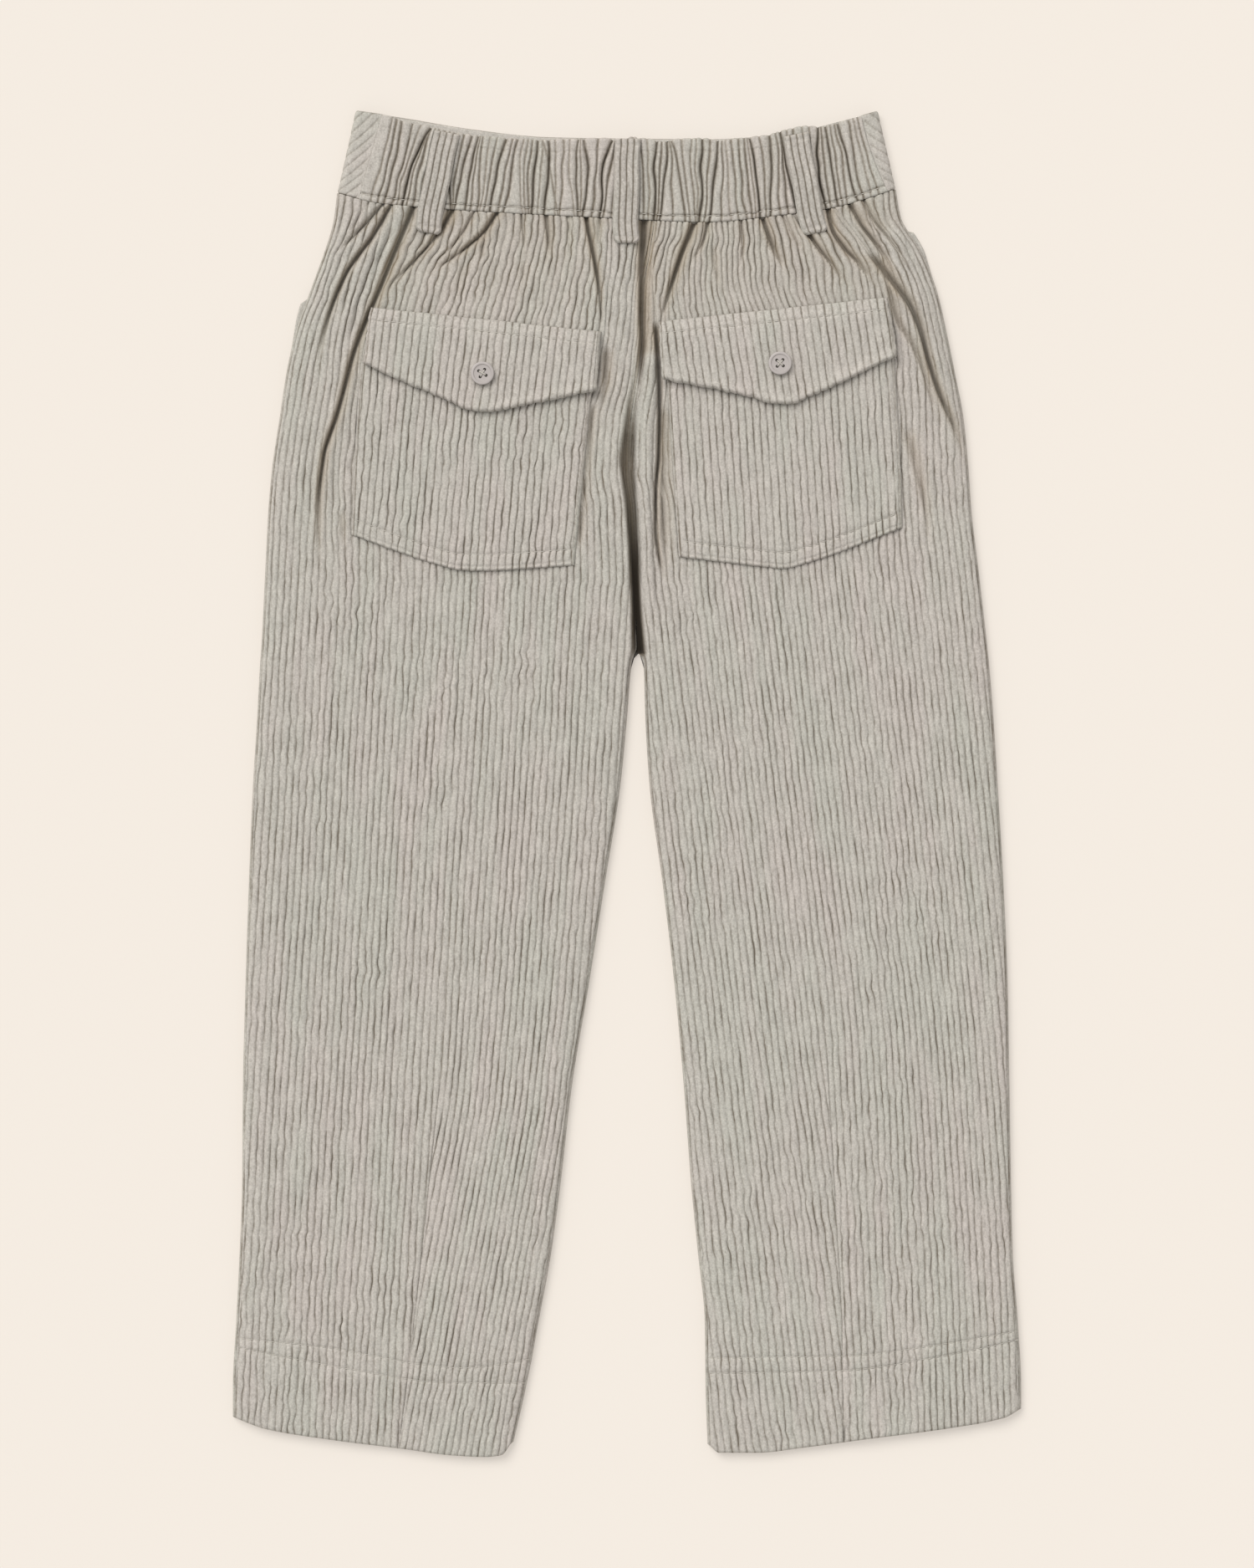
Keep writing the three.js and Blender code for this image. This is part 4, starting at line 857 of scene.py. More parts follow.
def backPanel(side):
    # height = inner face + wall + rounded wales, less what grooves, stitch rows and dart press in; the
    # whole wall is turned down at its free edges
    look, seed = backLook, backLook["seeds"][side]
    sign, count, edge = signs[side], waleCount[side], cloth["edge"]
    last = count["inner"] + count["outer"]
    wales = np.append((np.arange(-count["spare"], last)[:, None] + np.array(cloth["phases"])).ravel(), last)
    level = backRows()[:, None]
    out, numbers = turnedSides(waleLines(side, wales, level), wales)
    x = sign * out
    y = rowHeight(side, x, level)
    inner, outer = edgeAt(side, "Inner", y), edgeAt(side, "Outer", y)
    fromSides = (out - out[:, :1], out[:, -1:] - out)
    fromEnds = (level - levels["hem"], levels["seam"] - level)
    room = roomOf(out, numbers, cloth["pitch"], fromSides)
    profile = waleProfile(numbers)[None, :]
    swell, sink, rumple = crinkle(seed, numbers, y, look["amount"])
    rough = 1 + look["seatRough"] * smoothStep(*look["roughRange"], y)
    sink, rumple = sink * rough, rumple * rough
    press = sum(bell(level - levels[row], look["pressWidth"]) for row in ("stitchLow", "stitchHigh"))
    taller = look["seatRelief"] * smoothStep(*look["reliefRange"], y)
    rib = cloth["wale"] * cloth["relief"] * (1 + swell) * room * (1 - look["press"] * press) * (1 + taller)
    calm = (1 - onPatch(side, x, y)) * smoothStep(0, 14, np.minimum(out - inner, outer - out))
    thick = cloth["wall"] + rib * profile - sink * (1 - profile) * calm * room - look["pressDepth"] * press
    dartTop = dartLine[side][-1]["at"]
    seamed = bell(out - curveOf(dartLine[side], "x", y), look["dartWidth"]) * smoothStep(0, 60, dartTop - y)
    # where wales stand taller their tops stay level with the solid's
    thick = thick - look["dartDepth"] * seamed - cloth["wale"] * taller
    # no turned edge along the centre seam and the waist seam
    fromInner = fromSides[0] + edge * smoothStep(levels["crotch"], levels["crotch"] + 4, y)
    turned = edgeRound(fromInner, fromSides[1], fromEnds[0])
    z = clothHeight(side, x, y) + thick * turned + rumple * calm * edgeRound(*fromEnds)
    # troughs flatten softly where they reach the ply below
    sunk = (z - lowest) / look["soft"]
    flattened = lowest + look["soft"] * np.log1p(np.exp(np.minimum(sunk, 30)))
    z = np.where((sunk < 6) & (turned > 0.98), flattened, np.maximum(z, lowest))
    # painted shade: in the grooves, deeper where they sink and over the upper seat; dark in the creases; warm in a
    # wider band round the folds, plus a warmer tone over the upper seat
    uneven = 0.75 + 0.25 * softNoise(seed + 11, numbers, y, 0.7, 5) + 0.7 * sink * calm
    darker = 1 + look["seatGroove"] * smoothStep(*look["darkRange"], y)
    crease = np.clip(-(foldHeight(side, x, y) + look["creaseFrom"]) / look["creaseDepth"], 0, 1) ** 1.3
    # not light but the painted warm shade in a wider band round each fold
    glow = -foldHeight(side, x, y, reach=look["warmReach"]) / look["creaseDepth"]
    facts = {
        "groove": (1 - profile) * room * uneven * darker,
        "crease": np.minimum(crease, mix(1, look["creaseTop"], smoothStep(*look["creaseRange"], y))),
        "warm": np.clip(glow + look["seatWarm"] * smoothStep(*look["darkRange"], y), 0, 1),
        "tint": tintOf(seed, numbers, y),
    }
    over = np.stack([x, y, z], -1)
    clothMesh(f"back_{side}", f"back_panel_{side}", over, innerFace(side), facts, flip=sign < 0)


# patches on the back: outlines of the pockets and flaps, and how their wales lean and are spaced
pockets = {
    "left": {
        "leftEdge": tableOf("at x", [(100, -132.6), (196, -127.6), (222, -122.8)]),
        "rightEdge": tableOf("at x", [(100, -25.6), (210, -14.4)]),
        "top": tableOf("at y", [(-128, 218.5), (-13.5, 206.5)]),
        "bottom": tableOf("at y", [(-132, 118.8), (-88, 103.6), (-80, 101.8), (-70, 101.4), (-25, 104)]),
        "lean": 0.093, "pitch": 3.43,
    },
    "right": {
        "leftEdge": tableOf("at x", [(100, 25.4), (214, 17.4)]),
        "rightEdge": tableOf("at x", [(110, 131.6), (150, 130.6), (224, 126)]),
        "top": tableOf("at y", [(17, 211.2), (127, 223)]),
        "bottom": tableOf("at y", [(25, 108), (64, 103.4), (74, 102.4), (84, 104.6), (131.5, 122)]),
        "lean": -0.068, "pitch": 3.46,
    },
}
flaps = {
    "left": {
        "leftEdge": tableOf("at x", [(196, -128), (228, -122.4)]),
        "rightEdge": tableOf("at x", [(184, -15), (218, -12)]),
        "top": tableOf("at y", [(-123.4, 227.3), (-12, 215.6)]),
        "bottom": tableOf("at y", [(-128, 201.4), (-114, 194.4), (-86, 182.6), (-74.5, 177.6), (-66, 176.8),
                                   (-58, 178.2), (-14.8, 187)]),
        "lean": 0.124, "pitch": 3.6,
    },
    "right": {
        "leftEdge": tableOf("at x", [(190, 19.5), (197, 16.6), (221, 14.8)]),
        "rightEdge": tableOf("at x", [(202, 128.4), (210, 128), (232, 124)]),
        "top": tableOf("at y", [(14.8, 220.4), (124, 232)]),
        "bottom": tableOf("at y", [(17, 192.5), (58, 184.2), (70, 180.8), (78, 180.8), (88, 184.6),
                                   (128.4, 203.6)]),
        "lean": -0.154, "pitch": 3.66,
    },
}
ridgeTop = cloth["wall"] + cloth["wale"]


def onPatch(side, x, y):  # 1 well under the pocket or flap, 0 clear of them
    fade, shape = 3, 0
    for outline in (pockets[side], flaps[side]):
        inside = smoothStep(0, fade, x - curveOf(outline["leftEdge"], "x", y))
        inside = inside * smoothStep(0, fade, curveOf(outline["rightEdge"], "x", y) - x)
        inside = inside * smoothStep(0, fade, y - curveOf(outline["bottom"], "y", x))
        inside = inside * smoothStep(0, fade, curveOf(outline["top"], "y", x) - y)
        shape = np.maximum(shape, inside)
    return shape


def onPanel(side, x, y):  # where a patch's inner face lies
    return clothHeight(side, x, y, True) + ridgeTop + cloth["rest"]


def onPocket(side, x, y):  # and where a flap's lies over its pocket
    return onPanel(side, x, y) + ridgeTop + cloth["rest"]


def ribbedPatch(name, node, outline, guidesAt, rows, baseAt, wallAt, pressedAt, seed, look):
    # wale lines lean as the outline says and end on its sides; rows are blends of its guide lines
    edge, pitch, lean = cloth["edge"], outline["pitch"], outline["lean"]
    leftX, rightX = outline["leftEdge"][0]["x"], outline["rightEdge"][0]["x"]
    middleX, middleY = (leftX + rightX) / 2, outline["leftEdge"][0]["at"]
    half = int((rightX - leftX) / 2 / pitch) + 5
    wales = (np.arange(-half, half)[:, None] + np.array(patchLook["phases"])).ravel()
    level = rows[:, None]
    y = middleY + 0 * level + 0 * wales
    for _ in range(6):
        x = middleX + wales * pitch + lean * (y - middleY)
        y = guided(guidesAt(x), level)
    x = x + wander(seed, wales, y, look["wander"]) * pitch
    # the sides follow their own lines at every row
    first = curveOf(outline["leftEdge"], "x", y) + edge
    last = curveOf(outline["rightEdge"], "x", y) - edge
    x, numbers = turnedSides(np.maximum.accumulate(np.clip(x, first, last), axis=1), wales)
    guides = guidesAt(x)
    y = guided(guides, level)
    fromSides = (x - x[:, :1], x[:, -1:] - x)
    fromEnds = (y - guides[0][1], guides[-1][1] - y)
    room = roomOf(x, numbers, pitch, fromSides)
    profile = waleProfile(numbers)[None, :]
    swell, sink, rumple = crinkle(seed, numbers, y, look["crinkle"])
    press = sum(bell(y - line, patchLook["pressWidth"]) for line in pressedAt(x))
    if look["sideRow"]:
        away = [distance - look["sideRow"] for distance in fromSides]
        press = press + sum(bell(distance, patchLook["sidePress"]) for distance in away)
    press = np.minimum(press, 1)
    rib = cloth["wale"] * cloth["relief"] * (1 + swell) * room * (1 - patchLook["press"] * press)
    thick = wallAt(x, y) + rib * profile
    thick = thick - patchLook["sink"] * sink * (1 - profile) * room - patchLook["pressDepth"] * press
    inside = smoothStep(0, 10, np.minimum(*fromSides)) * smoothStep(0, 10, np.minimum(*fromEnds))
    z = baseAt(x, y) + thick * edgeRound(*fromSides, *fromEnds) + np.maximum(rumple, -0.25) * inside
    # painted shade in the grooves, deeper where they sink
    facts = {
        "groove": (1 - profile) * room * (0.8 + 0.25 * softNoise(seed + 11, numbers, y, 0.7, 4) + sink),
        "crease": 0 * y,
        "tint": tintOf(seed, numbers, y) + look["tint"],
    }
    # cut wales leave the edges a little ragged: most at the foot, less at the sides and the top
    fringe = profile - 0.7 + 0.8 * softNoise(seed + 12, x, y, 0.9, 9)
    uneven = look["ragged"] * softNoise(seed + 13, y, x, 1.1, 9)
    nearSides = bell(fromSides[1], edge) - bell(fromSides[0], edge)
    down = look["ragged"] * fringe * bell(fromEnds[0], 1.6) - 0.4 * uneven * bell(fromEnds[1], edge)
    over = np.stack([x + 0.6 * uneven * nearSides, y - down, z], -1)
    # plain inner face, a little inside the outline
    across, up = np.linspace(0, 1, 24), np.linspace(0.04, 0.96, 16)[:, None]
    lowLevel = mix(level[0, 0], level[-1, 0], up)
    lowY = middleY + 0 * lowLevel + 0 * across
    for _ in range(4):
        low, high = curveOf(outline["leftEdge"], "x", lowY) + 2, curveOf(outline["rightEdge"], "x", lowY) - 2
        lowX = mix(low, high, across)
        lowY = guided(guidesAt(lowX), lowLevel)
    under = np.stack([lowX, lowY, baseAt(lowX, lowY)], -1)
    clothMesh(name, node, over, under, facts)


# what pockets and flaps share, then each one's own: its stitch rows are distances from the bottom, from
# the sides or from the top
patchLook = {"phases": (0, 0.07, 0.16, 0.3, 0.5, 0.7, 0.84, 0.93), "press": 0.55, "pressWidth": 0.6,
             "pressDepth": 0.22, "sidePress": 0.5, "sink": 0.6}
pocketLook = {"ragged": 0.1, "wander": 1.1, "crinkle": 1.1, "tint": 0.1, "edgeRow": 1.9, "bottomRow": 7.7,
              "sideRow": 1.9, "rowStep": 1.6, "height": 104, "closeRow": 3.1,
              "seeds": {"left": 50, "right": 60}}
flapLook = {"ragged": 0.24, "wander": 0.7, "crinkle": 0.6, "tint": 0.25, "topRow": 6.2, "sideRow": None,
            "rowStep": 1.5, "height": 41, "shoulder": 7.4, "lip": 0.85, "lipAt": 1.8, "lipWidth": 2,
            "lift": 0.9, "liftRun": 7, "seeds": {"left": 70, "right": 80}}


def rowsBetween(high, step, dense):  # even rows, with extra ones at the turned edges and along stitching
    edge = cloth["edge"]
    rows = np.arange(edge + step / 2, high - edge - step / 2, step)
    around = np.array([-1, -0.5, 0, 0.5, 1])
    for line in dense:
        rows = rows[np.abs(rows - line) > 1.3]
    return np.sort(np.concatenate([rows, edgeSteps, high - edgeSteps, *[line + around for line in dense]]))


def backPocket(side):  # a patch on the panel, its rows level with its pointed bottom
    outline, look = pockets[side], pocketLook

    def bottomAt(x):
        return curveOf(outline["bottom"], "y", x)

    def guidesAt(x):
        bottom = bottomAt(x)
        return [(0, bottom), (20, bottom + 20), (look["height"], curveOf(outline["top"], "y", x))]

    def pressedAt(x):
        return [bottomAt(x) + look[row] for row in ("edgeRow", "bottomRow")]

    rows = rowsBetween(look["height"], look["rowStep"], [look["closeRow"], look["bottomRow"]])
    ribbedPatch(f"pocket_{side}", f"back_pocket_{side}", outline, guidesAt, rows,
                lambda x, y: onPanel(side, x, y), lambda x, y: cloth["wall"], pressedAt,
                look["seeds"][side], look)


def pocketFlap(side):  # sewn on along its top, from there over its pocket, its lower edge lifted a little
    outline, look = flaps[side], flapLook

    def topLine(x):
        return curveOf(outline["top"], "y", x)

    def bottomLine(x):
        return curveOf(outline["bottom"], "y", x)

    def guidesAt(x):
        bottom, top = bottomLine(x), topLine(x)
        return [(0, bottom), (5, bottom + 5), (look["height"] - 9, top - 9), (look["height"], top)]

    def baseAt(x, y):
        lift = look["lift"] * np.exp(-np.maximum(y - bottomLine(x), 0) / look["liftRun"])
        lying = smoothStep(0, look["shoulder"], topLine(x) - y)
        return mix(onPanel(side, x, y), onPocket(side, x, y), lying) + lift

    def wallAt(x, y):  # a soft roll where the lower edge is turned
        return cloth["wall"] + look["lip"] * bell(y - bottomLine(x) - look["lipAt"], look["lipWidth"])

    rows = rowsBetween(look["height"], look["rowStep"], [look["height"] - look["topRow"]])
    ribbedPatch(f"flap_{side}", f"pocket_flap_{side}", outline, guidesAt, rows, baseAt, wallAt,
                lambda x: [topLine(x) - look["topRow"]], look["seeds"][side], look)


for side in signs:
    backPanel(side)
print("back panels made")
for side in signs:
    backPocket(side)
    pocketFlap(side)
print("pockets and flaps made")

# front of the trousers: flat under everything else; each pocket's mouth is a straight line from the
# waist seam to the side
mouths = {
    "left": {"seamX": -96, "sideX": -152.9, "sideY": 232, "cornerX": seamLine[0]["at"]},
    "right": {"seamX": 92, "sideX": 135.6, "sideY": 264, "cornerX": seamLine[-1]["at"]},
}
frontLook = {
    "crotchX": 6.4, "waistX": 1, "lift": 2.6, "fade": 26, "flat": 0.6, "rowStep": 4, "columns": 44,
    "turn": 1.1, "turnSteps": (0, 0.1, 0.3, 0.65, 1.1), "under": 0.8, "shut": 0.02, "plainTop": 170,
    "groove": 0.25, "troughX": 4, "bagFrom": 0.08, "bagLength": 40, "bagTurn": (0, 0.02, 0.05), "seed": 5,
}


def mouthHeight(side, x):  # height of the mouth's line
    mouth = mouths[side]
    seamY = float(curveOf(seamLine, "y", mouth["seamX"]))
    return mix(seamY, mouth["sideY"], (x - mouth["seamX"]) / (mouth["sideX"] - mouth["seamX"]))


def slab(name, node, x, y, fromSide, fromEnd, flip):
    # flat ply: both faces turn towards each other at the free edges
    look, half = frontLook, cloth["ply"] / 2
    turned = rounded(fromSide, look["turn"]) * rounded(fromEnd, look["turn"])
    away = look["flat"] / 2 + (half - look["flat"] / 2) * turned
    wale = np.abs(x) / cloth["pitch"]
    # it is in deep shade at the bottom of the trough between the legs
    inTrough = smoothStep(9, 6, np.abs(x - look["troughX"])) * smoothStep(58, 60, y)
    # painted lines of groove shade where the wales fall on the flat ply, partly their darker ground
    facts = {
        "groove": look["groove"] * (1 - waleProfile(wale)) + 0 * y,
        "crease": inTrough * (1 - smoothStep(180, 225, y)),
        "tint": tintOf(look["seed"], wale, y),
    }
    clothMesh(name, node, np.stack([x, y, half + away], -1), np.stack([x, y, half - away], -1), facts, flip)


def frontPanel(side):
    # columns from the centre seam to the side, rows from the hem to the waist seam or the mouth below it;
    # at the hip its side stands a little proud of the back's
    sign, look, mouth = signs[side], frontLook, mouths[side]
    turns, whole = np.array(look["turnSteps"]), levels["seam"] - levels["hem"]
    parts = np.linspace(0, 1, look["columns"] + 2)[1:-1]
    rows = np.concatenate([turns, np.arange(3, whole - 3, look["rowStep"]), whole - turns[::-1]])
    level = rows[:, None] + levels["hem"]

    def heightOf(x):
        seam = np.minimum(curveOf(seamLine, "y", x) - look["under"], mouthHeight(side, x)) - cloth["gap"]
        guides = [(levels["hem"], curveOf(hemLine, "y", x)), (levels["plain"], levels["plain"] + 0 * x),
                  (look["plainTop"], look["plainTop"] + 0 * x), (levels["seam"], seam)]
        return guided(guides, level)

    y = level + 0 * np.zeros(len(parts) + 2 * len(turns))
    for _ in range(6):
        centre = mix(look["crotchX"], look["waistX"], smoothStep(levels["crotch"], levels["seam"], y))
        inner = mix(edgeAt(side, "Inner", y), sign * centre + look["shut"], smoothStep(60, 62, y))
        proud = look["lift"] * (1 - smoothStep(0, look["fade"], mouth["sideY"] - y))
        outer = edgeAt(side, "Outer", y) + proud
        between = slice(len(turns), -len(turns))
        out = np.concatenate([
            inner[:, :len(turns)] + turns,
            mix(inner[:, between] + turns[-1], outer[:, between] - turns[-1], parts),
            outer[:, -len(turns):] - turns[::-1],
        ], axis=1)
        y = heightOf(sign * out)
    fromSide = np.minimum(out - inner, outer - out)
    fromEnd = np.minimum(level - levels["hem"], levels["seam"] - level) + 0 * out
    slab(f"front_{side}", f"front_panel_{side}", sign * out, y, fromSide, fromEnd, sign < 0)


def frontPocket(side):
    # from the mouth to the side, and from the side's corner up to the waist seam
    sign, look, mouth = signs[side], frontLook, mouths[side]
    turns = np.array(look["bagTurn"])
    up = np.concatenate([look["bagFrom"] + turns, np.linspace(0.18, 0.95, 14), 1 - turns[:-1][::-1]])[:, None]
    part = np.concatenate([np.linspace(0, 0.94, 10), [0.965, 0.985, 1]])[None, :]
    innerX = mix(mouth["sideX"], mouth["seamX"], up)
    innerY = mouthHeight(side, innerX) + cloth["gap"] / 2
    outerY = mix(mouth["sideY"], float(curveOf(seamLine, "y", mouth["cornerX"])), up)
    outerX = sign * edgeAt(side, "Outer", outerY)
    x, y = mix(innerX, outerX, part), mix(innerY, outerY, part)
    y = mix(y, curveOf(seamLine, "y", x) - cloth["gap"] - look["under"], up**6)
    fromEnd = np.minimum(up - look["bagFrom"], 1 - up) * look["bagLength"] + 0 * x
    slab(f"pocket_bag_{side}", f"front_pocket_{side}", x, y, np.abs(outerX - x), fromEnd, sign < 0)


for side in signs:
    frontPanel(side)
    frontPocket(side)
print("fronts made")

# waistband: its top edges, and at each side the outer edge and the tip of the wrapped end
bandTop = tableOf("at y", [
    (-130, 321.4), (-112, 318.6), (-106, 316.4), (-99, 315), (-72, 309.8), (-39, 307.8), (-10, 308.4),
    (15, 308.3), (44, 308), (66, 309.8), (74, 312), (90, 313.6), (105, 317), (120, 321.3),
])
frontBandTop = tableOf("at y", [
    (-130, 321.6), (-108, 318.5), (-72, 312.6), (-39, 309.2), (-8, 308.6), (40, 308.2), (70, 310), (98, 315),
    (120, 321.4),
])
bandEnds = {
    "left": {"edgeLow": -138.4, "edgeHigh": -129.6, "tipLow": -128, "tipHigh": -116.8, "bow": 0},
    "right": {"edgeLow": 128.4, "edgeHigh": 119.8, "tipLow": 124.4, "tipHigh": 111.6, "bow": 1.3},
}
bandLook = {
    "hollow": 2.4, "crest": 1.7, "columnStep": 0.3, "rowStep": 1.1, "plainStep": 2.8, "span": 240,
    "rowsHeight": 40, "height": 42, "header": 6.4, "foot": 3,  # stitch rows, from the top and from the seam
    "headerPress": 0.2, "footPress": 0.8, "pressWidth": 0.6, "footEdge": 0.62, "headerDrawn": 0.8,
    "footDrawn": 0.85, "grooveWidth": 0.9, "core": 0.55, "coreShare": 0.5, "bend": 0.35, "deepest": 2.2,
    # the band's painted shades: an even share in every groove and a warm share in the gathers
    "thinnest": 0.35, "endGap": -0.12, "endEdge": 0.88, "topDraw": 0.5, "footDraw": 0.12, "shade": 0.04,
    "warm": 0.5, "seed": 90,
}
# ribs that slant round the wrapped ends
ribLook = {"lean": 36, "depth": 0.5, "pitch": 4.5, "dark": 0.6, "turnDepth": 0.8, "height": 46, "level": 280,
           "seed": 95}
# the top edge of the back band dips and rises: place, rise and half width
bandDips = [(-4, -1.3, 3), (3, 0.7, 3), (17.2, -1.4, 5), (36, 0.6, 4), (44, -0.7, 4), (84, 1.2, 6)]
# gathers drawn by the elastic: three points down each, depth and half width
gathers = tableOf("x0 y0 x1 y1 x2 y2 depth width", [
    (-111.7, 316, -117.2, 298, -121.6, 280, 0.9, 0.8),
    (-108.6, 311, -110.6, 298, -115.6, 278, 1.5, 1),
    (-102.5, 314, -107.2, 295, -112.1, 278, 1.4, 1),
    (-94.5, 312, -101.8, 298, -107.2, 277, 2.2, 1.2),
    (-94.9, 308, -98.4, 296, -101.4, 278, 1.4, 1),
    (-83.4, 301, -84.9, 290, -84.9, 274, 1.8, 1),
    (-86.8, 290, -87.4, 284, -88, 277, 0.9, 0.8),
    (-76.5, 302, -78.8, 290, -82, 277, 1.7, 1.1),
    (-72.4, 305, -74.6, 292, -77.3, 274, 1.7, 0.9),
    (-69.3, 305, -70, 292, -70.8, 277, 1.2, 0.8),
    (-65.8, 305, -67, 294, -69.3, 277, 0.8, 0.7),
    (-58.6, 304, -62.4, 290, -64.4, 274, 1.9, 1.4),
    (-53.6, 302, -55.6, 289, -57.4, 280, 1.5, 0.9),
    (-49.8, 305, -51.3, 294, -49.6, 275, 0.8, 0.8),
    (-42.1, 306, -43.6, 296, -44.8, 282, 2, 1.4),
    (-40.2, 309, -39.8, 306, -39.4, 304, 1, 0.8),
    (-37.5, 302, -37.9, 288, -38.7, 279, 2, 1.2),
    (-34.4, 305, -34.4, 302, -34.4, 298, 0.9, 0.8),
    (-30.6, 305, -31, 286, -31.4, 280, 1.1, 0.8),
    (-27.6, 305, -28, 292, -26.8, 284, 0.7, 0.7),
    (-23.7, 304, -24.5, 288, -23.7, 278, 1.6, 1),
    (-20.2, 303, -18.6, 291, -20.6, 272, 1.8, 1),
    (-7.2, 307, -11.4, 294, -13.3, 271, 2.2, 1.2),
    (-8.3, 292, -9.6, 285, -10.6, 278, 1.4, 0.8),
    (5.1, 303, 3.8, 290, 4.3, 271, 2.2, 1.2),
    (5.8, 307, 7.8, 288, 8.2, 271, 1.3, 0.9),
    (14.3, 306, 13.1, 296, 13.1, 280, 2.1, 1.4),
    (19.2, 300, 18.4, 290, 17, 280, 1.8, 1),
    (22.7, 301, 25.4, 288, 26.5, 272, 1.4, 0.9),
    (30.7, 302, 31.1, 288, 31.9, 276, 1, 0.8),
    (36.3, 299, 35.6, 286, 34.3, 271, 2, 1.3),
    (43, 305, 41.3, 285, 39.6, 271, 1.9, 1),
    (49.9, 305, 50.9, 290, 52.9, 271, 1.1, 0.8),
    (48.2, 292, 48.7, 284, 49.2, 273, 0.7, 0.7),
    (56.2, 303, 56.9, 292, 57.9, 283, 1.3, 0.8),
    (58.9, 308, 61.8, 292, 62.8, 272, 2.1, 1.1),
    (68.2, 300, 68.8, 290, 68.2, 273, 1.8, 1.3),
    (73.1, 309, 76.1, 295, 81.8, 272, 2, 1),
    (75.1, 289, 75.8, 283, 76.4, 274, 1.5, 0.9),
    (91.6, 299, 91.7, 291, 94.1, 279, 2.2, 1.3),
    (96, 306, 97.5, 295, 99.7, 281, 1.8, 1),
    (100.4, 310, 102.6, 297, 105.2, 276, 1.1, 0.8),
    (103.4, 304, 105.6, 294, 110, 279, 1.8, 1),
    (106.7, 310, 109.3, 295, 112.4, 281, 1.3, 0.9),
    (110, 307, 112, 299, 116, 282, 0.8, 0.8),
    (110.8, 314, 114.3, 299, 120, 283, 1, 0.7),
])


def tipAt(side, up):  # where the wrapped end of the band stops: a straight line with a slight bow
    place = bandEnds[side]
    return mix(place["tipLow"], place["tipHigh"], up) - signs[side] * place["bow"] * 4 * up * (1 - up)


def bandLines():
    # the gathers, and between two that lie far apart the plain grooves of the wales, sharing out their
    # distance: each groove has its place at three heights, its depth and its half width
    look, rng = bandLook, np.random.default_rng(7)
    heights = np.array([314, 292, 270])
    lines = []
    for row in gathers:
        path = [(row[f"x{i}"], row[f"y{i}"]) for i in range(3)]
        lines.append((foldX(path, heights), row["depth"], row["width"]))
    lines += [(tipAt(side, np.array([1, 0.5, 0])), 0, 1) for side in signs]
    lines.sort(key=lambda line: line[0][1])
    plain = []
    for (before, *_), (after, *_) in zip(lines[:-1], lines[1:]):
        count = int(round((after[1] - before[1]) / look["plainStep"])) - 1
        for k in range(count):
            part = (k + 1 + rng.uniform(-0.15, 0.15)) / (count + 1)
            plain.append((mix(before, after, part), rng.uniform(0.8, 1.3), rng.uniform(0.5, 0.7)))
    return heights, [line for line in lines if line[1]] + plain


def bandGrooves(x, y):
    # how far the gathers sink at each point, a broad swell with a narrow core, and how much painted shade darkens that
    # core
    look, seed = bandLook, bandLook["seed"]
    sag, dark = 0 * x, 0 * x
    heights, lines = bandLines()
    bent = x + look["bend"] * softNoise(seed + 3, x, y, 3, 7)
    for places, depth, width in lines:
        away = np.abs(bent - curveOf(tableOf("at x", zip(heights[::-1], places[::-1])), "x", y))
        core = bell(away, look["core"] * (0.6 + 0.25 * depth))
        swell = bell(away, look["grooveWidth"] * width + 0.35)
        sag = np.maximum(sag, depth * mix(swell, core, look["coreShare"]))
        dark = np.maximum(dark, core * min(1, 0.45 + depth / 2.2))
    return sag, dark


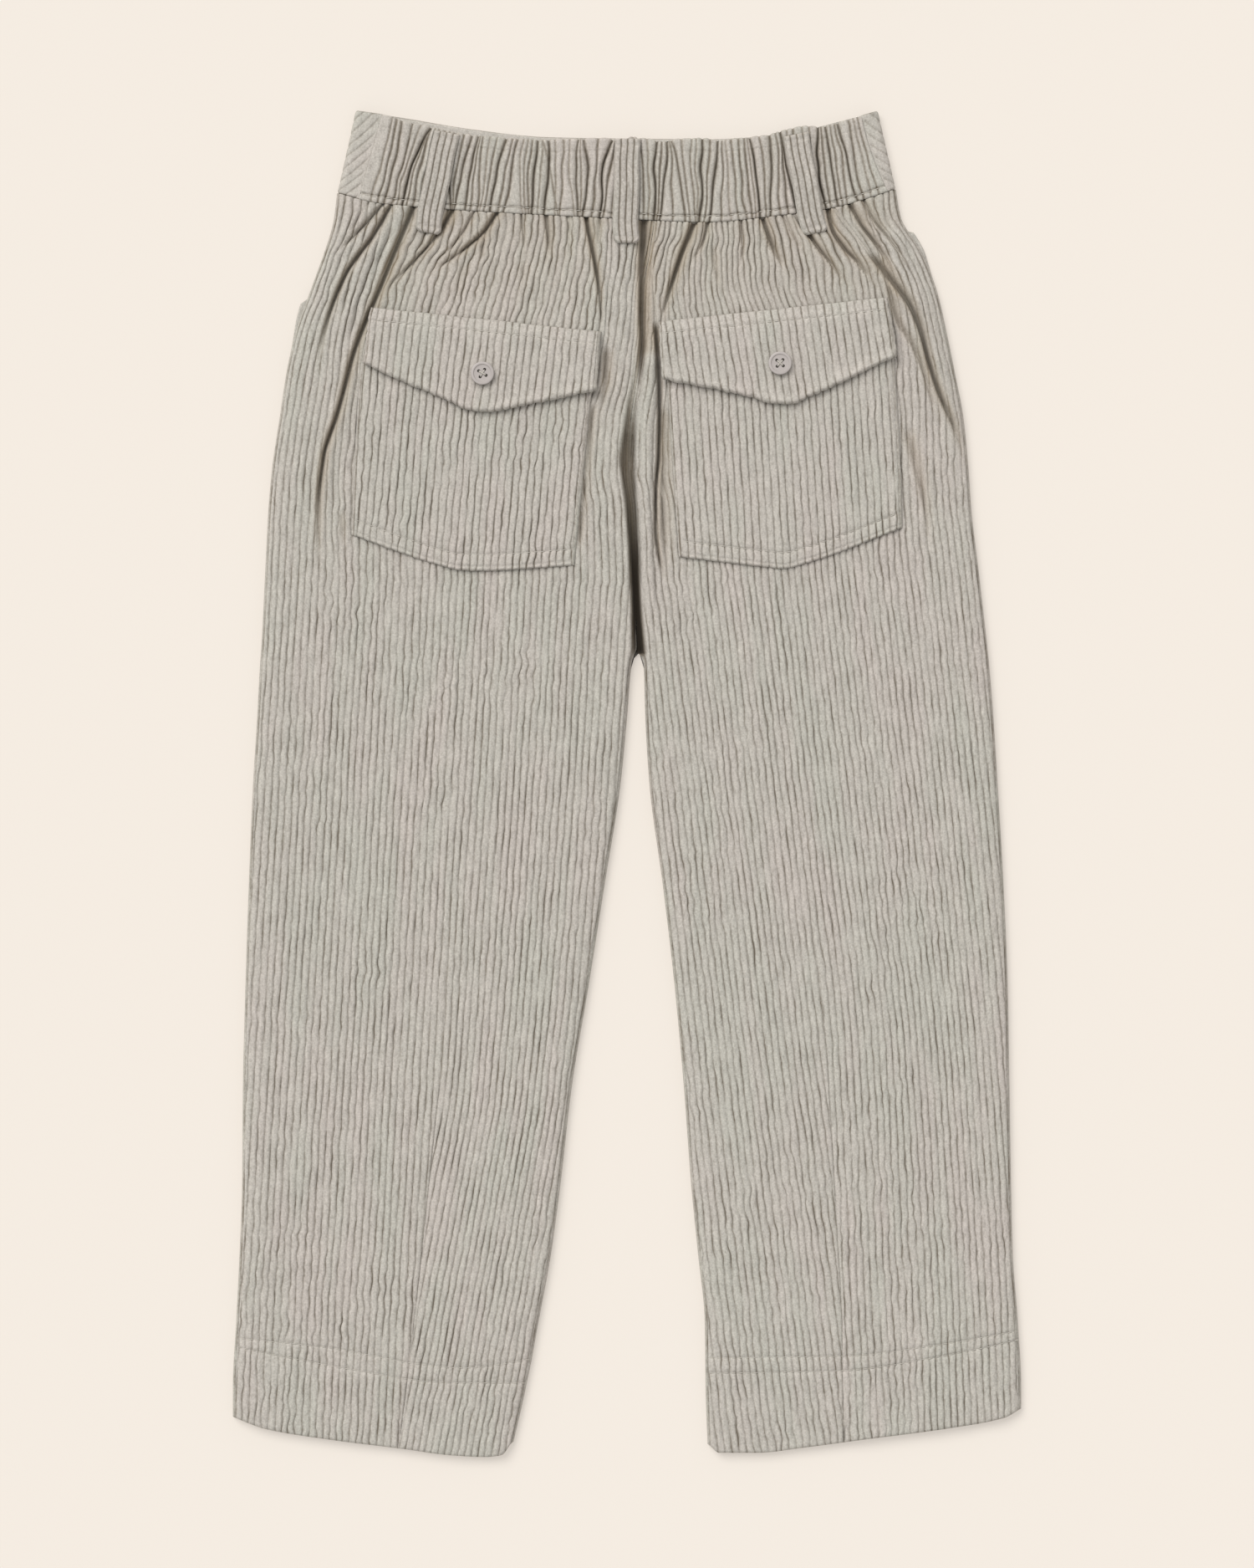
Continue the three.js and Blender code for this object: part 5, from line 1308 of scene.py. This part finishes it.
def bandBack():
    # rows from the waist seam to the top edge, columns from tip to tip: a level crest from which the
    # gathers and the stitch rows sink, turned down at its edges
    look, seed = bandLook, bandLook["seed"]
    around, tall = np.array([-0.9, -0.4, 0, 0.4, 0.9]), look["rowsHeight"]
    even, turn = np.linspace(0, 1, int(tall / look["rowStep"])), edgeSteps / look["height"]
    stitched = [(look["foot"] + around) / tall, 1 - (look["header"] + around) / tall]
    even = even[(even > turn[-1]) & (even < 1 - turn[-1])]
    up = np.unique(np.concatenate([turn, even, 1 - turn, *stitched]))[:, None]
    columns = np.linspace(0, 1, int(look["span"] / look["columnStep"]))[3:-3]
    turn = edgeSteps / look["span"]
    part = np.unique(np.concatenate([turn, columns, 1 - turn]))[None, :]
    x = mix(tipAt("left", up) + look["endGap"], tipAt("right", up) - look["endGap"], part)
    low, high = curveOf(seamLine, "y", x) + backLook["shut"], curveOf(bandTop, "y", x)
    high = high + sum(rise * bell(x - place, width) for place, rise, width in bandDips)
    y = mix(low, high, up)
    fromTop, fromFoot = high - y, y - low
    # the stitch rows hold the grooves shallower beyond them
    drawn = mix(look["headerDrawn"], 1, smoothStep(look["header"] - 1, look["header"] + 3, fromTop))
    drawn = drawn * mix(look["footDrawn"], 1, smoothStep(look["foot"] - 1, look["foot"] + 3, fromFoot))
    sag, dark = bandGrooves(x, y)
    waver = 0.3 * softNoise(seed + 7, x, y, 2.5, 9)
    press = look["headerPress"] * bell(fromTop - look["header"], look["pressWidth"])
    press = press + look["footPress"] * bell(fromFoot - look["foot"] - waver, look["pressWidth"])
    ripple = 0.14 * softNoise(seed, x, y, 2.2, 6) + 0.1 * softNoise(seed + 1, x, y, 5, 12)
    thick = cloth["wall"] + look["crest"] - np.minimum(sag, look["deepest"]) * drawn - press
    thick = np.maximum(thick + np.minimum(ripple, 0), look["thinnest"])
    base = cloth["ply"] + look["hollow"]
    turned = mix(look["endEdge"], 1, edgeRound(x - x[:, :1], x[:, -1:] - x))
    turned = turned * edgeRound(fromTop) * mix(look["footEdge"], 1, edgeRound(fromFoot))
    # the cloth draws in at its edges wherever a groove meets them
    drawIn = look["topDraw"] * bell(fromTop, 3) - look["footDraw"] * bell(fromFoot, 2.4)
    y = y - np.minimum(sag, 2) * drawIn
    across, rise = np.linspace(0, 1, 40), np.linspace(0.06, 0.94, 8)[:, None]
    lowX = mix(tipAt("left", rise) + 2, tipAt("right", rise) - 2, across)
    lowY = mix(curveOf(seamLine, "y", lowX), curveOf(bandTop, "y", lowX), rise)
    # painted shade: some in every groove, most in the gathers' cores and along the pressed foot stitching; dark and
    # warm brown deep in the gathers
    facts = {
        "groove": look["shade"] + dark * (0.35 + 0.65 * drawn) + 0.5 * press,
        "crease": np.clip(sag / 1.5 - 0.5, 0, 1) * dark * drawn,
        "warm": np.clip(sag / 2.4, 0, 1) * look["warm"],
        "tint": tintOf(seed + 2, x / cloth["pitch"], y),
    }
    over, under = np.stack([x, y, base + thick * turned], -1), np.stack([lowX, lowY, base + 0 * lowX], -1)
    clothMesh("band_back", "waistband_back", over, under, facts)


def ribbon(up, tipCount, turnCount, flatCount):
    # the front band's path at each height, from the right tip over the right edge, flat underneath and
    # round the left edge to the left tip: x, z, both parts of its outward direction, and the distance
    # from the tip (where it is flat underneath, simply far)
    half, far = cloth["ply"] / 2, 99
    outerRadius = (cloth["ply"] * 2 + bandLook["hollow"]) / 2
    middle = outerRadius - half
    tips, angles = np.linspace(0, 1, tipCount), np.linspace(1, -1, turnCount) * math.pi / 2
    out, rise = np.cos(angles), np.sin(angles)
    strips = {}
    for side, sign in signs.items():
        edge = mix(bandEnds[side]["edgeLow"], bandEnds[side]["edgeHigh"], up)
        tip = tipAt(side, up)
        start = edge - sign * outerRadius
        top = mix(tip, start, tips)
        onTop = (top, outerRadius + middle + 0 * tips, 0 * tips, 1 + 0 * tips, sign * (top - tip))
        roundEdge = (edge + sign * (middle * out - outerRadius), outerRadius + middle * rise, sign * out,
                     rise, sign * (start - tip) + middle * (math.pi / 2 - angles))
        strips[side] = (onTop, roundEdge)
    (leftTop, leftTurn), (rightTop, rightTurn) = strips["left"], strips["right"]
    flats = np.linspace(0, 1, flatCount)[1:-1]
    under = mix(rightTurn[0][:, -1:], leftTurn[0][:, -1:], flats)
    flat = (under, half + 0 * flats, 0 * flats, -1 + 0 * flats, far + 0 * flats)
    strips = [rightTop, [a[..., 1:] for a in rightTurn], flat, [a[..., ::-1] for a in leftTurn],
              [a[..., ::-1][..., 1:] for a in leftTop]]

    def joined(i):  # one of the five values, all along the path
        whole = [np.broadcast_to(strip[i], (len(up), strip[0].shape[1])) for strip in strips]
        return np.concatenate(whole, axis=1)

    return [joined(i) for i in range(5)]


def placed(path, up, away):  # points of the front band at a distance outward from its middle
    x, z, outX, outZ, _ = path
    x = x + away * outX
    inside = np.clip(x, bandEnds["left"]["edgeLow"], bandEnds["right"]["edgeLow"])
    below = cloth["gap"] / 2 - frontLook["under"] * (1 - smoothStep(-0.9, 0, outZ))
    top = mix(curveOf(frontBandTop, "y", x), curveOf(bandTop, "y", x), smoothStep(0.2, 0.9, outZ))
    return np.stack([x, mix(curveOf(seamLine, "y", inside) + below, top, up), z + away * outZ], -1)


def bandFront():
    # a ribbon round both sides, with slanting ribs where it shows
    look, half = ribLook, cloth["ply"] / 2
    turn = edgeSteps / look["height"]
    up = np.unique(np.concatenate([np.linspace(0, 1, 70), turn, 1 - turn]))[:, None]
    path = ribbon(up, 26, 26, 30)
    outZ, fromTip = path[3:]
    y = mix(278, 318, up)
    slant = (fromTip + math.tan(math.radians(look["lean"])) * (y - look["level"])) / look["pitch"]
    above = smoothStep(-0.9, -0.2, outZ)
    onTop = above * smoothStep(0.2, 1.6, fromTip)
    fromEnds = np.minimum(up, 1 - up) * bandLook["height"] + 0 * slant
    ribs = waleProfile(slant + 0.06 * softNoise(look["seed"], slant, y, 1.5, 8))
    relief = look["depth"] * (ribs - 1) * onTop
    relief = np.maximum(relief - (1 - edgeRound(fromEnds)) * look["turnDepth"] * above, -1.5)
    # painted shade in the grooves of the slanting ribs
    facts = {
        "groove": -look["dark"] * relief / look["depth"] * onTop,
        "crease": 0 * slant,
        "tint": tintOf(look["seed"] + 1, slant, y),
    }
    upLow = np.linspace(0.03, 0.97, 9)[:, None]
    under = placed(ribbon(upLow, 5, 8, 12), upLow, -half)
    clothMesh("band_front", "waistband_front", placed(path, up, half + relief), under, facts, flip=True)


bandBack()
bandFront()
print("waistband made")

# belt loops
loops = {
    "left": {"topX": -86.4, "topY": 310.6, "bottomX": -95, "bottomY": 262.6, "panel": "left"},
    "centre": {"topX": -0.2, "topY": 307.6, "bottomX": -0.2, "bottomY": 257.6, "panel": "left"},
    "right": {"topX": 80, "topY": 309.6, "bottomX": 90, "bottomY": 262.4, "panel": "right"},
}
loopLook = {
    "width": 12.4, "wales": 4, "waleSteps": 10, "chamfer": 1.6, "reach": 3, "bow": 1.1, "rowStep": 0.8,
    "relief": 0.8, "wobble": 0.35, "pressAt": 3, "pressWidth": 0.7, "pressDepth": 0.25, "press": 0.6,
    "shade": 0.12, "groove": 1.35, "smooth": 5, "seed": 97,
}


def beltLoop(name):
    # a strip from its bottom to its top, over the highest of what lies under it, bowed up in between
    place, look, seed = loops[name], loopLook, loopLook["seed"]
    wayX, wayY = place["topX"] - place["bottomX"], place["topY"] - place["bottomY"]
    length = math.hypot(wayX, wayY)
    acrossX, acrossY = wayY / length, -wayX / length
    rows = [edgeSteps, np.arange(2, length - 2, look["rowStep"]), length - edgeSteps]
    along = np.unique(np.concatenate(rows))[:, None]
    up = along / length
    middleX, middleY = mix(place["bottomX"], place["topX"], up), mix(place["bottomY"], place["topY"], up)
    onBand = cloth["ply"] + bandLook["hollow"] + cloth["wall"] + bandLook["crest"] + cloth["rest"]
    beds = []
    for part in (-1, -0.5, 0, 0.5, 1):
        for step in (-look["reach"], 0, look["reach"]):
            x, y = middleX + part * look["width"] / 2, middleY + step
            seam = curveOf(seamLine, "y", x) + look["reach"]
            beds.append(np.where(y > seam, onBand, onPanel(place["panel"], x, y)))
    bed = np.maximum.reduce(beds)
    kernel = np.hanning(2 * look["smooth"] + 3)[1:-1]
    bed = np.convolve(np.pad(bed[:, 0], look["smooth"], mode="edge"), kernel / kernel.sum(), "valid")[:, None]
    bed = bed + look["bow"] * np.sin(math.pi * smoothStep(0.06, 1, up)) ** 2
    count, turn = look["wales"], edgeSteps / look["width"] * look["wales"]
    wale = np.linspace(0, count, count * look["waleSteps"] + 1)
    wale = np.unique(np.concatenate([wale, turn, count - turn]))
    narrow = mix(1 - 2 * look["chamfer"] / look["width"], 1, np.clip(along / look["chamfer"], 0, 1))
    out = (wale / count - 0.5) * look["width"] * narrow
    wobble = look["wobble"] * softNoise(seed, 0 * along, along, 5, 7)
    x, y = middleX + (out + wobble) * acrossX, middleY + (out + wobble) * acrossY
    profile = waleProfile(wale)[None, :]
    sideways = np.minimum(out - out[:, :1], out[:, -1:] - out)
    press = sum(bell(end - look["pressAt"], look["pressWidth"]) for end in (along, length - along))
    uneven = 0.85 + 0.15 * softNoise(seed + 1, wale, y, 1.1, 6)
    relief = look["relief"] * uneven * (1 - look["press"] * press)
    thick = cloth["wall"] + relief * profile * smoothStep(0.1, 1, sideways) - look["pressDepth"] * press
    z = bed + thick * edgeRound(sideways, along, length - along)
    lowUp = np.linspace(0.02, 0.98, 14)[:, None]
    lowX, lowY = mix(place["bottomX"], place["topX"], lowUp), mix(place["bottomY"], place["topY"], lowUp)
    lowOut = np.linspace(-0.42, 0.42, 5) * look["width"]
    lowZ = np.interp(lowUp[:, 0], up[:, 0], bed[:, 0])[:, None] + 0 * lowOut
    # painted shade over the whole loop and in the grooves of its wales
    facts = {
        "groove": look["shade"] + look["groove"] * (1 - profile) * smoothStep(0.3, 1, sideways),
        "crease": 0 * x,
        "tint": tintOf(seed + 2, wale, y),
    }
    under = np.stack([lowX + lowOut * acrossX, lowY + lowOut * acrossY, lowZ], -1)
    clothMesh(f"loop_{name}", f"belt_loop_{name}", np.stack([x, y, z + 0 * x], -1), under, facts)


for name in loops:
    beltLoop(name)
print("belt loops made")


# stitching: short threads along the seams; a stitch has its thickness at each place along it
threadLook = {
    "length": 2.3, "space": 1.2, "radius": 0.17, "lift": -0.16, "dip": 0.35, "sides": 6,
    "places": (0, 0.06, 0.28, 0.5, 0.72, 0.94, 1), "thickness": (0.02, 0.6, 1, 1.05, 1, 0.6, 0.02),
    "colour": (0.5, 0.475, 0.43), "roughness": 0.8, "specular": 0.2,
    "twistSize": 1800, "twistBump": 0.3, "twistHeight": 0.0002,
}


def threadMaterial():
    look = threadLook
    material, nodes, links, shader = newMaterial("thread", look["roughness"], look["specular"])
    shader.inputs["Base Color"].default_value = (*look["colour"], 1)
    twist = noiseOf(nodes, links, look["twistSize"])
    bumpOf(nodes, links, shader, twist, look["twistBump"], look["twistHeight"])
    return material


thread = threadMaterial()


def topAt(name, x, y):  # highest point of an outer face near each spot
    reach, beside, block = 1, 2, 64
    points = tops[name]
    near = (points[:, 0] > x.min() - beside) & (points[:, 0] < x.max() + beside)
    near &= (points[:, 1] > y.min() - beside) & (points[:, 1] < y.max() + beside)
    points = points[near]
    heights = np.empty(len(x))
    for start in range(0, len(x), block):  # in blocks, to spare memory
        part = slice(start, start + block)
        away = np.hypot(points[None, :, 0] - x[part, None], points[None, :, 1] - y[part, None])
        within = away < np.maximum(reach, away.min(1, keepdims=True) + 0.01)
        heights[part] = np.where(within, points[None, :, 2], -1).max(1)
    return heights


def strandFaces(rings, around, count):
    # faces of several separate strands, each a number of rings of points with a flat cap at both ends
    ids = np.arange(rings * around).reshape(rings, around)
    loop = np.concatenate([ids, ids[:, :1]], axis=1)
    step = np.arange(1, around - 1)
    low, high = np.stack([0 * step, step + 1, step], 1), np.stack([0 * step, step, step + 1], 1)
    faces = np.concatenate([gridFaces(loop, False), low, high + ids[-1, 0]])
    return (faces[None] + (np.arange(count) * ids.size)[:, None, None]).reshape(-1, 3)


def stitches(name, on, lines):
    # each line is cut into even steps; a stitch is a capsule that bows up from the cloth between its ends
    look = threadLook
    starts, ends = [], []
    for x, y in lines:
        run = np.concatenate([[0], np.cumsum(np.hypot(np.diff(x), np.diff(y)))])
        first = np.arange(look["space"] / 2, run[-1] - look["length"], look["length"] + look["space"])
        for found, at in ((starts, first), (ends, first + look["length"])):
            found.append(np.stack([np.interp(at, run, x), np.interp(at, run, y)], 1))
    starts, ends = np.concatenate(starts), np.concatenate(ends)
    middle = (starts + ends) / 2
    height = topAt(on, middle[:, 0], middle[:, 1]) + look["lift"]
    t, thick = np.array(look["places"]), np.array(look["thickness"]) * look["radius"]
    angle = np.arange(look["sides"]) * 2 * math.pi / look["sides"]
    way = (ends - starts) / np.linalg.norm(ends - starts, axis=1, keepdims=True)
    side = np.stack([-way[:, 1], way[:, 0]], 1)
    core = starts[:, None] + (ends - starts)[:, None] * t[:, None]
    sideways, upward = thick[:, None] * np.cos(angle), thick[:, None] * np.sin(angle)
    points = np.empty((len(starts), len(t), len(angle), 3))
    points[..., :2] = core[:, :, None] + side[:, None, None] * sideways[None, :, :, None]
    points[..., 2] = (height[:, None] - look["dip"] * (2 * t - 1) ** 4)[:, :, None] + upward[None]
    faces = strandFaces(len(t), len(angle), len(starts))
    meshOf(name, points.reshape(-1, 3), faces, {}, thread, "corduroy")


def hemRow(side, row, y):  # across a leg, a little inside its edges
    x = np.linspace(edgeAt(side, "Inner", y) + 1, edgeAt(side, "Outer", y) - 1, 200) * signs[side]
    return x, curveOf(hemStitches[side][row], "y", x)


for side in signs:
    stitches(f"hem_stitches_{side}", f"back_{side}", [hemRow(side, "low", -283), hemRow(side, "high", -272)])
    outline = pockets[side]
    low, high = (float(curveOf(outline[edge], "x", 110)) for edge in ("leftEdge", "rightEdge"))
    x = np.linspace(low + 2, high - 2, 160)
    bottomRow = curveOf(outline["bottom"], "y", x) + pocketLook["bottomRow"]
    stitches(f"pocket_stitches_{side}", f"pocket_{side}", [(x, bottomRow)])
    outline = flaps[side]
    x = np.linspace(outline["leftEdge"][-1]["x"] + 2.5, outline["rightEdge"][-1]["x"] - 2.5, 160)
    topRow = curveOf(outline["top"], "y", x) - flapLook["topRow"]
    stitches(f"flap_stitches_{side}", f"flap_{side}", [(x, topRow)])
x = np.linspace(bandEnds["left"]["tipLow"] + 2, bandEnds["right"]["tipLow"] - 2, 300)
stitches("band_stitches", "band_back", [(x, curveOf(seamLine, "y", x) + bandLook["foot"])])
print("stitching made")

# four-hole buttons: a turned disc with a raised rim, its holes cut through, sewn on with a crossed thread
buttonLook = {
    "radius": 5.5, "thick": 2.2, "rim": 1.1, "dish": 0.54, "lip": 0.1, "step": 0.5, "bevel": 0.4, "sides": 64,
    "holeRadius": 0.75, "holeReach": 1.45, "holeSides": 20, "turn": {"left": 14, "right": 4},
    "colour": (0.43, 0.395, 0.38), "cloud": 0.07, "cloudSize": 260, "roughness": 0.38, "specular": 0.45,
    "sharp": 38, "thread": 0.3, "threadRings": 13, "threadSides": 8, "threadRise": 0.25, "threadDive": 1.9,
}


def buttonMaterial():
    look = buttonLook
    material, nodes, links, shader = newMaterial("button", look["roughness"], look["specular"])
    ramp = nodes.new("ShaderNodeValToRGB")
    for element, part in zip(ramp.color_ramp.elements, (1 - look["cloud"], 1 + look["cloud"])):
        element.color = (*[channel * part for channel in look["colour"]], 1)
    links.new(noiseOf(nodes, links, look["cloudSize"]), ramp.inputs["Fac"])
    links.new(ramp.outputs["Color"], shader.inputs["Base Color"])
    return material


buttonPlastic = buttonMaterial()


def lathe(name, profile, around, centre):
    # a profile of radius and height turned round z, closed at both poles
    angle = np.arange(around) * 2 * math.pi / around
    radius, height = np.array(profile).T[..., None]
    ring = np.stack([radius * np.cos(angle), radius * np.sin(angle), height + 0 * angle], -1)
    poles = [[0, 0, height[0, 0]], [0, 0, height[-1, 0]]]
    points = np.concatenate([ring.reshape(-1, 3), poles]) + centre
    ids = np.arange(len(radius) * around).reshape(len(radius), around)
    loop = np.concatenate([ids, ids[:, :1]], axis=1)
    low, high = np.full(around, len(points) - 2), np.full(around, len(points) - 1)
    caps = [np.stack([low, loop[0, 1:], loop[0, :-1]], 1), np.stack([high, loop[-1, :-1], loop[-1, 1:]], 1)]
    faces = np.concatenate([gridFaces(loop, False), *caps])
    return meshOf(name, points, faces, {}, buttonPlastic, "button")


def drill(disc, cutters):  # cuts the holes, and applies the cuts
    for cutter in cutters:
        cut = disc.modifiers.new("hole", "BOOLEAN")
        cut.operation, cut.solver, cut.object = "DIFFERENCE", "EXACT", cutter
    bpy.context.view_layer.update()
    drilled = bpy.data.meshes.new_from_object(disc.evaluated_get(bpy.context.evaluated_depsgraph_get()))
    disc.modifiers.clear()
    disc.data = drilled
    for cutter in cutters:
        bpy.data.objects.remove(cutter)
    drilled.polygons.foreach_set("use_smooth", np.ones(len(drilled.polygons), bool))
    drilled.set_sharp_from_angle(angle=math.radians(buttonLook["sharp"]))


def crossedThread(side, corners, seat, centre):
    # two strands from hole to hole, one over the other: each rises to the middle and dives into its holes
    look = buttonLook
    size, t = look["thread"], np.linspace(-1, 1, look["threadRings"])
    angle = np.arange(look["threadSides"]) * 2 * math.pi / look["threadSides"]
    thick = size * np.where(np.abs(t) == 1, 0.1, 1)[:, None]
    strands = []
    for (x, y), lift in zip(corners, (0, 0.9 * size)):
        wayX, wayY = x / math.hypot(x, y), y / math.hypot(x, y)
        height = seat + look["threadRise"] + (0.5 * size + lift) * np.cos(1.4 * t)
        height = height - look["threadDive"] * t**10
        ring = np.empty((len(t), len(angle), 3))
        ring[..., 0] = (1.08 * x * t)[:, None] - wayY * thick * np.cos(angle)
        ring[..., 1] = (1.08 * y * t)[:, None] + wayX * thick * np.cos(angle)
        ring[..., 2] = height[:, None] + 0.8 * thick * np.sin(angle)
        strands.append(ring.reshape(-1, 3) + centre)
    faces = strandFaces(len(t), len(angle), len(strands))
    meshOf(f"button_thread_{side}", np.concatenate(strands), faces, {}, thread, "corduroy")


def button(side):
    # the profile runs from the underside's middle round the bevelled rim and down into the dish
    look = buttonLook
    low, high = [np.array(corner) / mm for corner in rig.box(f"button_{side}")]
    centre = np.array([*(low + high)[:2] / 2, low[2]])
    radius, thick, rim, bevel = (look[key] for key in ("radius", "thick", "rim", "bevel"))
    quarter = (0.5, 1.05, 1.57)
    inside = radius - rim
    low, high = bevel, thick - bevel
    profile = [(0.6, 0), (radius - bevel, 0)]
    profile += [(radius - bevel * (1 - math.sin(a)), low - bevel * math.cos(a)) for a in quarter]
    profile += [(radius - bevel * (1 - math.cos(a)), high + bevel * math.sin(a)) for a in (0, *quarter)]
    profile += [(inside, thick), (inside - bevel * 0.3, thick - look["lip"])]
    profile += [(inside - bevel, thick - look["step"]), (inside - bevel * 2, thick - look["dish"])]
    profile += [(0.6, thick - look["dish"])]
    disc = lathe(f"button_disc_{side}", profile, look["sides"], centre)
    angles = math.radians(look["turn"][side]) + np.arange(4) * math.pi / 2 + math.pi / 4
    reach = look["holeReach"] * math.sqrt(2)
    corners = [(reach * math.cos(angle), reach * math.sin(angle)) for angle in angles]
    hole = [(look["holeRadius"], -2), (look["holeRadius"], thick + 2)]
    drill(disc, [lathe("cutter", hole, look["holeSides"], centre + np.array([x, y, 0])) for x, y in corners])
    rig.replaces(disc, f"button_{side}")
    crossedThread(side, corners, thick - look["dish"], centre)


for side in signs:
    button(side)
print("buttons made")

# cut of each cloth piece that shows: width and length in metres, area in square metres, how it is held,
# what lies under it and the stitching that goes with it
cuts = tableOf("piece width length area held under sewing", [
    ("front_left", 0.19, 0.6, 0.1, "laid", ["floor"], []),
    ("front_right", 0.19, 0.6, 0.1, "laid", ["floor"], []),
    ("pocket_bag_left", 0.052, 0.045, 0.0011, "laid", ["floor"], []),
    ("pocket_bag_right", 0.044, 0.02, 0.0004, "laid", ["floor"], []),
    ("back_left", 0.184, 0.6, 0.098, "laid", ["front_left"], ["hem_stitches_left"]),
    ("back_right", 0.184, 0.6, 0.098, "laid", ["front_right"], ["hem_stitches_right"]),
    ("pocket_left", 0.118, 0.122, 0.0125, "laid", ["back_left"], ["pocket_stitches_left"]),
    ("pocket_right", 0.118, 0.122, 0.0125, "laid", ["back_right"], ["pocket_stitches_right"]),
    ("flap_left", 0.114, 0.05, 0.0042, "laid", ["pocket_left", "back_left"], ["flap_stitches_left"]),
    ("flap_right", 0.114, 0.05, 0.0042, "laid", ["pocket_right", "back_right"], ["flap_stitches_right"]),
    ("band_back", 0.36, 0.042, 0.0148, "gathered", ["band_front"], ["band_stitches"]),
    ("band_front", 0.3, 0.042, 0.0122, "folded", ["floor"], []),
    ("loop_left", 0.0124, 0.052, None, "laid", ["band_back", "back_left"], []),
    ("loop_centre", 0.0124, 0.053, None, "laid", ["band_back", "back_left"], []),
    ("loop_right", 0.0124, 0.052, None, "laid", ["band_back", "back_right"], []),
])
for cut in cuts:
    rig.sheet(bpy.data.objects[cut["piece"]], flat=(cut["width"], cut["length"]), held=cut["held"],
             rests_on=cut["under"], area=cut["area"],
             with_pieces=[bpy.data.objects[sewing] for sewing in cut["sewing"]])
print("sheets declared")

# floor, light and camera
stageLook = {
    "floor": (0.42, 0.39, 0.355), "floorHalf": 4.0, "floorTop": -0.0002, "roughness": 0.9, "specular": 0.1,
    "glow": (0.9, 0.835, 0.765), "glowStrength": 0.47, "sky": (1.0, 0.985, 0.965), "skyStrength": 0.62,
    "sun": (1, 0.985, 0.96), "sunStrength": 2.2, "sunSpread": 38, "sunFrom": (-0.55, 0.75, 1.15),
    "frameHeight": 750, "aside": -0.0002, "lens": 120, "sensor": 36, "farthest": 50,
}


def makeStage():
    look = stageLook
    scene = bpy.context.scene
    mesh = bpy.data.meshes.new("floor")
    corners = [(x * look["floorHalf"], y * look["floorHalf"], look["floorTop"])
               for x, y in ((-1, -1), (1, -1), (1, 1), (-1, 1))]
    mesh.from_pydata(corners, [], [(0, 1, 2, 3)])
    floor = bpy.data.objects.new("floor", mesh)
    scene.collection.objects.link(floor)
    material, _, _, shader = newMaterial("floor paper", look["roughness"], look["specular"])
    shader.inputs["Base Color"].default_value = (*look["floor"], 1)
    shader.inputs["Emission Color"].default_value = (*look["glow"], 1)
    shader.inputs["Emission Strength"].default_value = look["glowStrength"]
    mesh.materials.append(material)
    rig.stage(floor)
    world = bpy.data.worlds.new("studio")
    world.use_nodes = True
    background = world.node_tree.nodes["Background"]
    background.inputs["Color"].default_value = (*look["sky"], 1)
    background.inputs["Strength"].default_value = look["skyStrength"]
    scene.world = world
    sun = bpy.data.lights.new("soft key", "SUN")
    sun.energy, sun.angle, sun.color = look["sunStrength"], math.radians(look["sunSpread"]), look["sun"]
    lamp = bpy.data.objects.new("soft key", sun)
    lamp.rotation_euler = Vector(look["sunFrom"]).to_track_quat("Z", "Y").to_euler()
    scene.collection.objects.link(lamp)
    camera = bpy.data.cameras.new("camera")
    camera.lens, camera.sensor_width, camera.clip_end = look["lens"], look["sensor"], look["farthest"]
    eye = bpy.data.objects.new("camera", camera)
    eye.location = (0, look["aside"], look["frameHeight"] * mm * look["lens"] / look["sensor"])
    scene.collection.objects.link(eye)
    scene.camera = eye
    scene.view_settings.view_transform = "Standard"


makeStage()
print("stage made")

newLow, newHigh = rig.bounds()
sizes = {"cad": [list(cadLow), list(cadHigh)], "visual": [list(newLow), list(newHigh)]}
with open("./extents.json", "w") as sizeFile:
    json.dump(sizes, sizeFile)
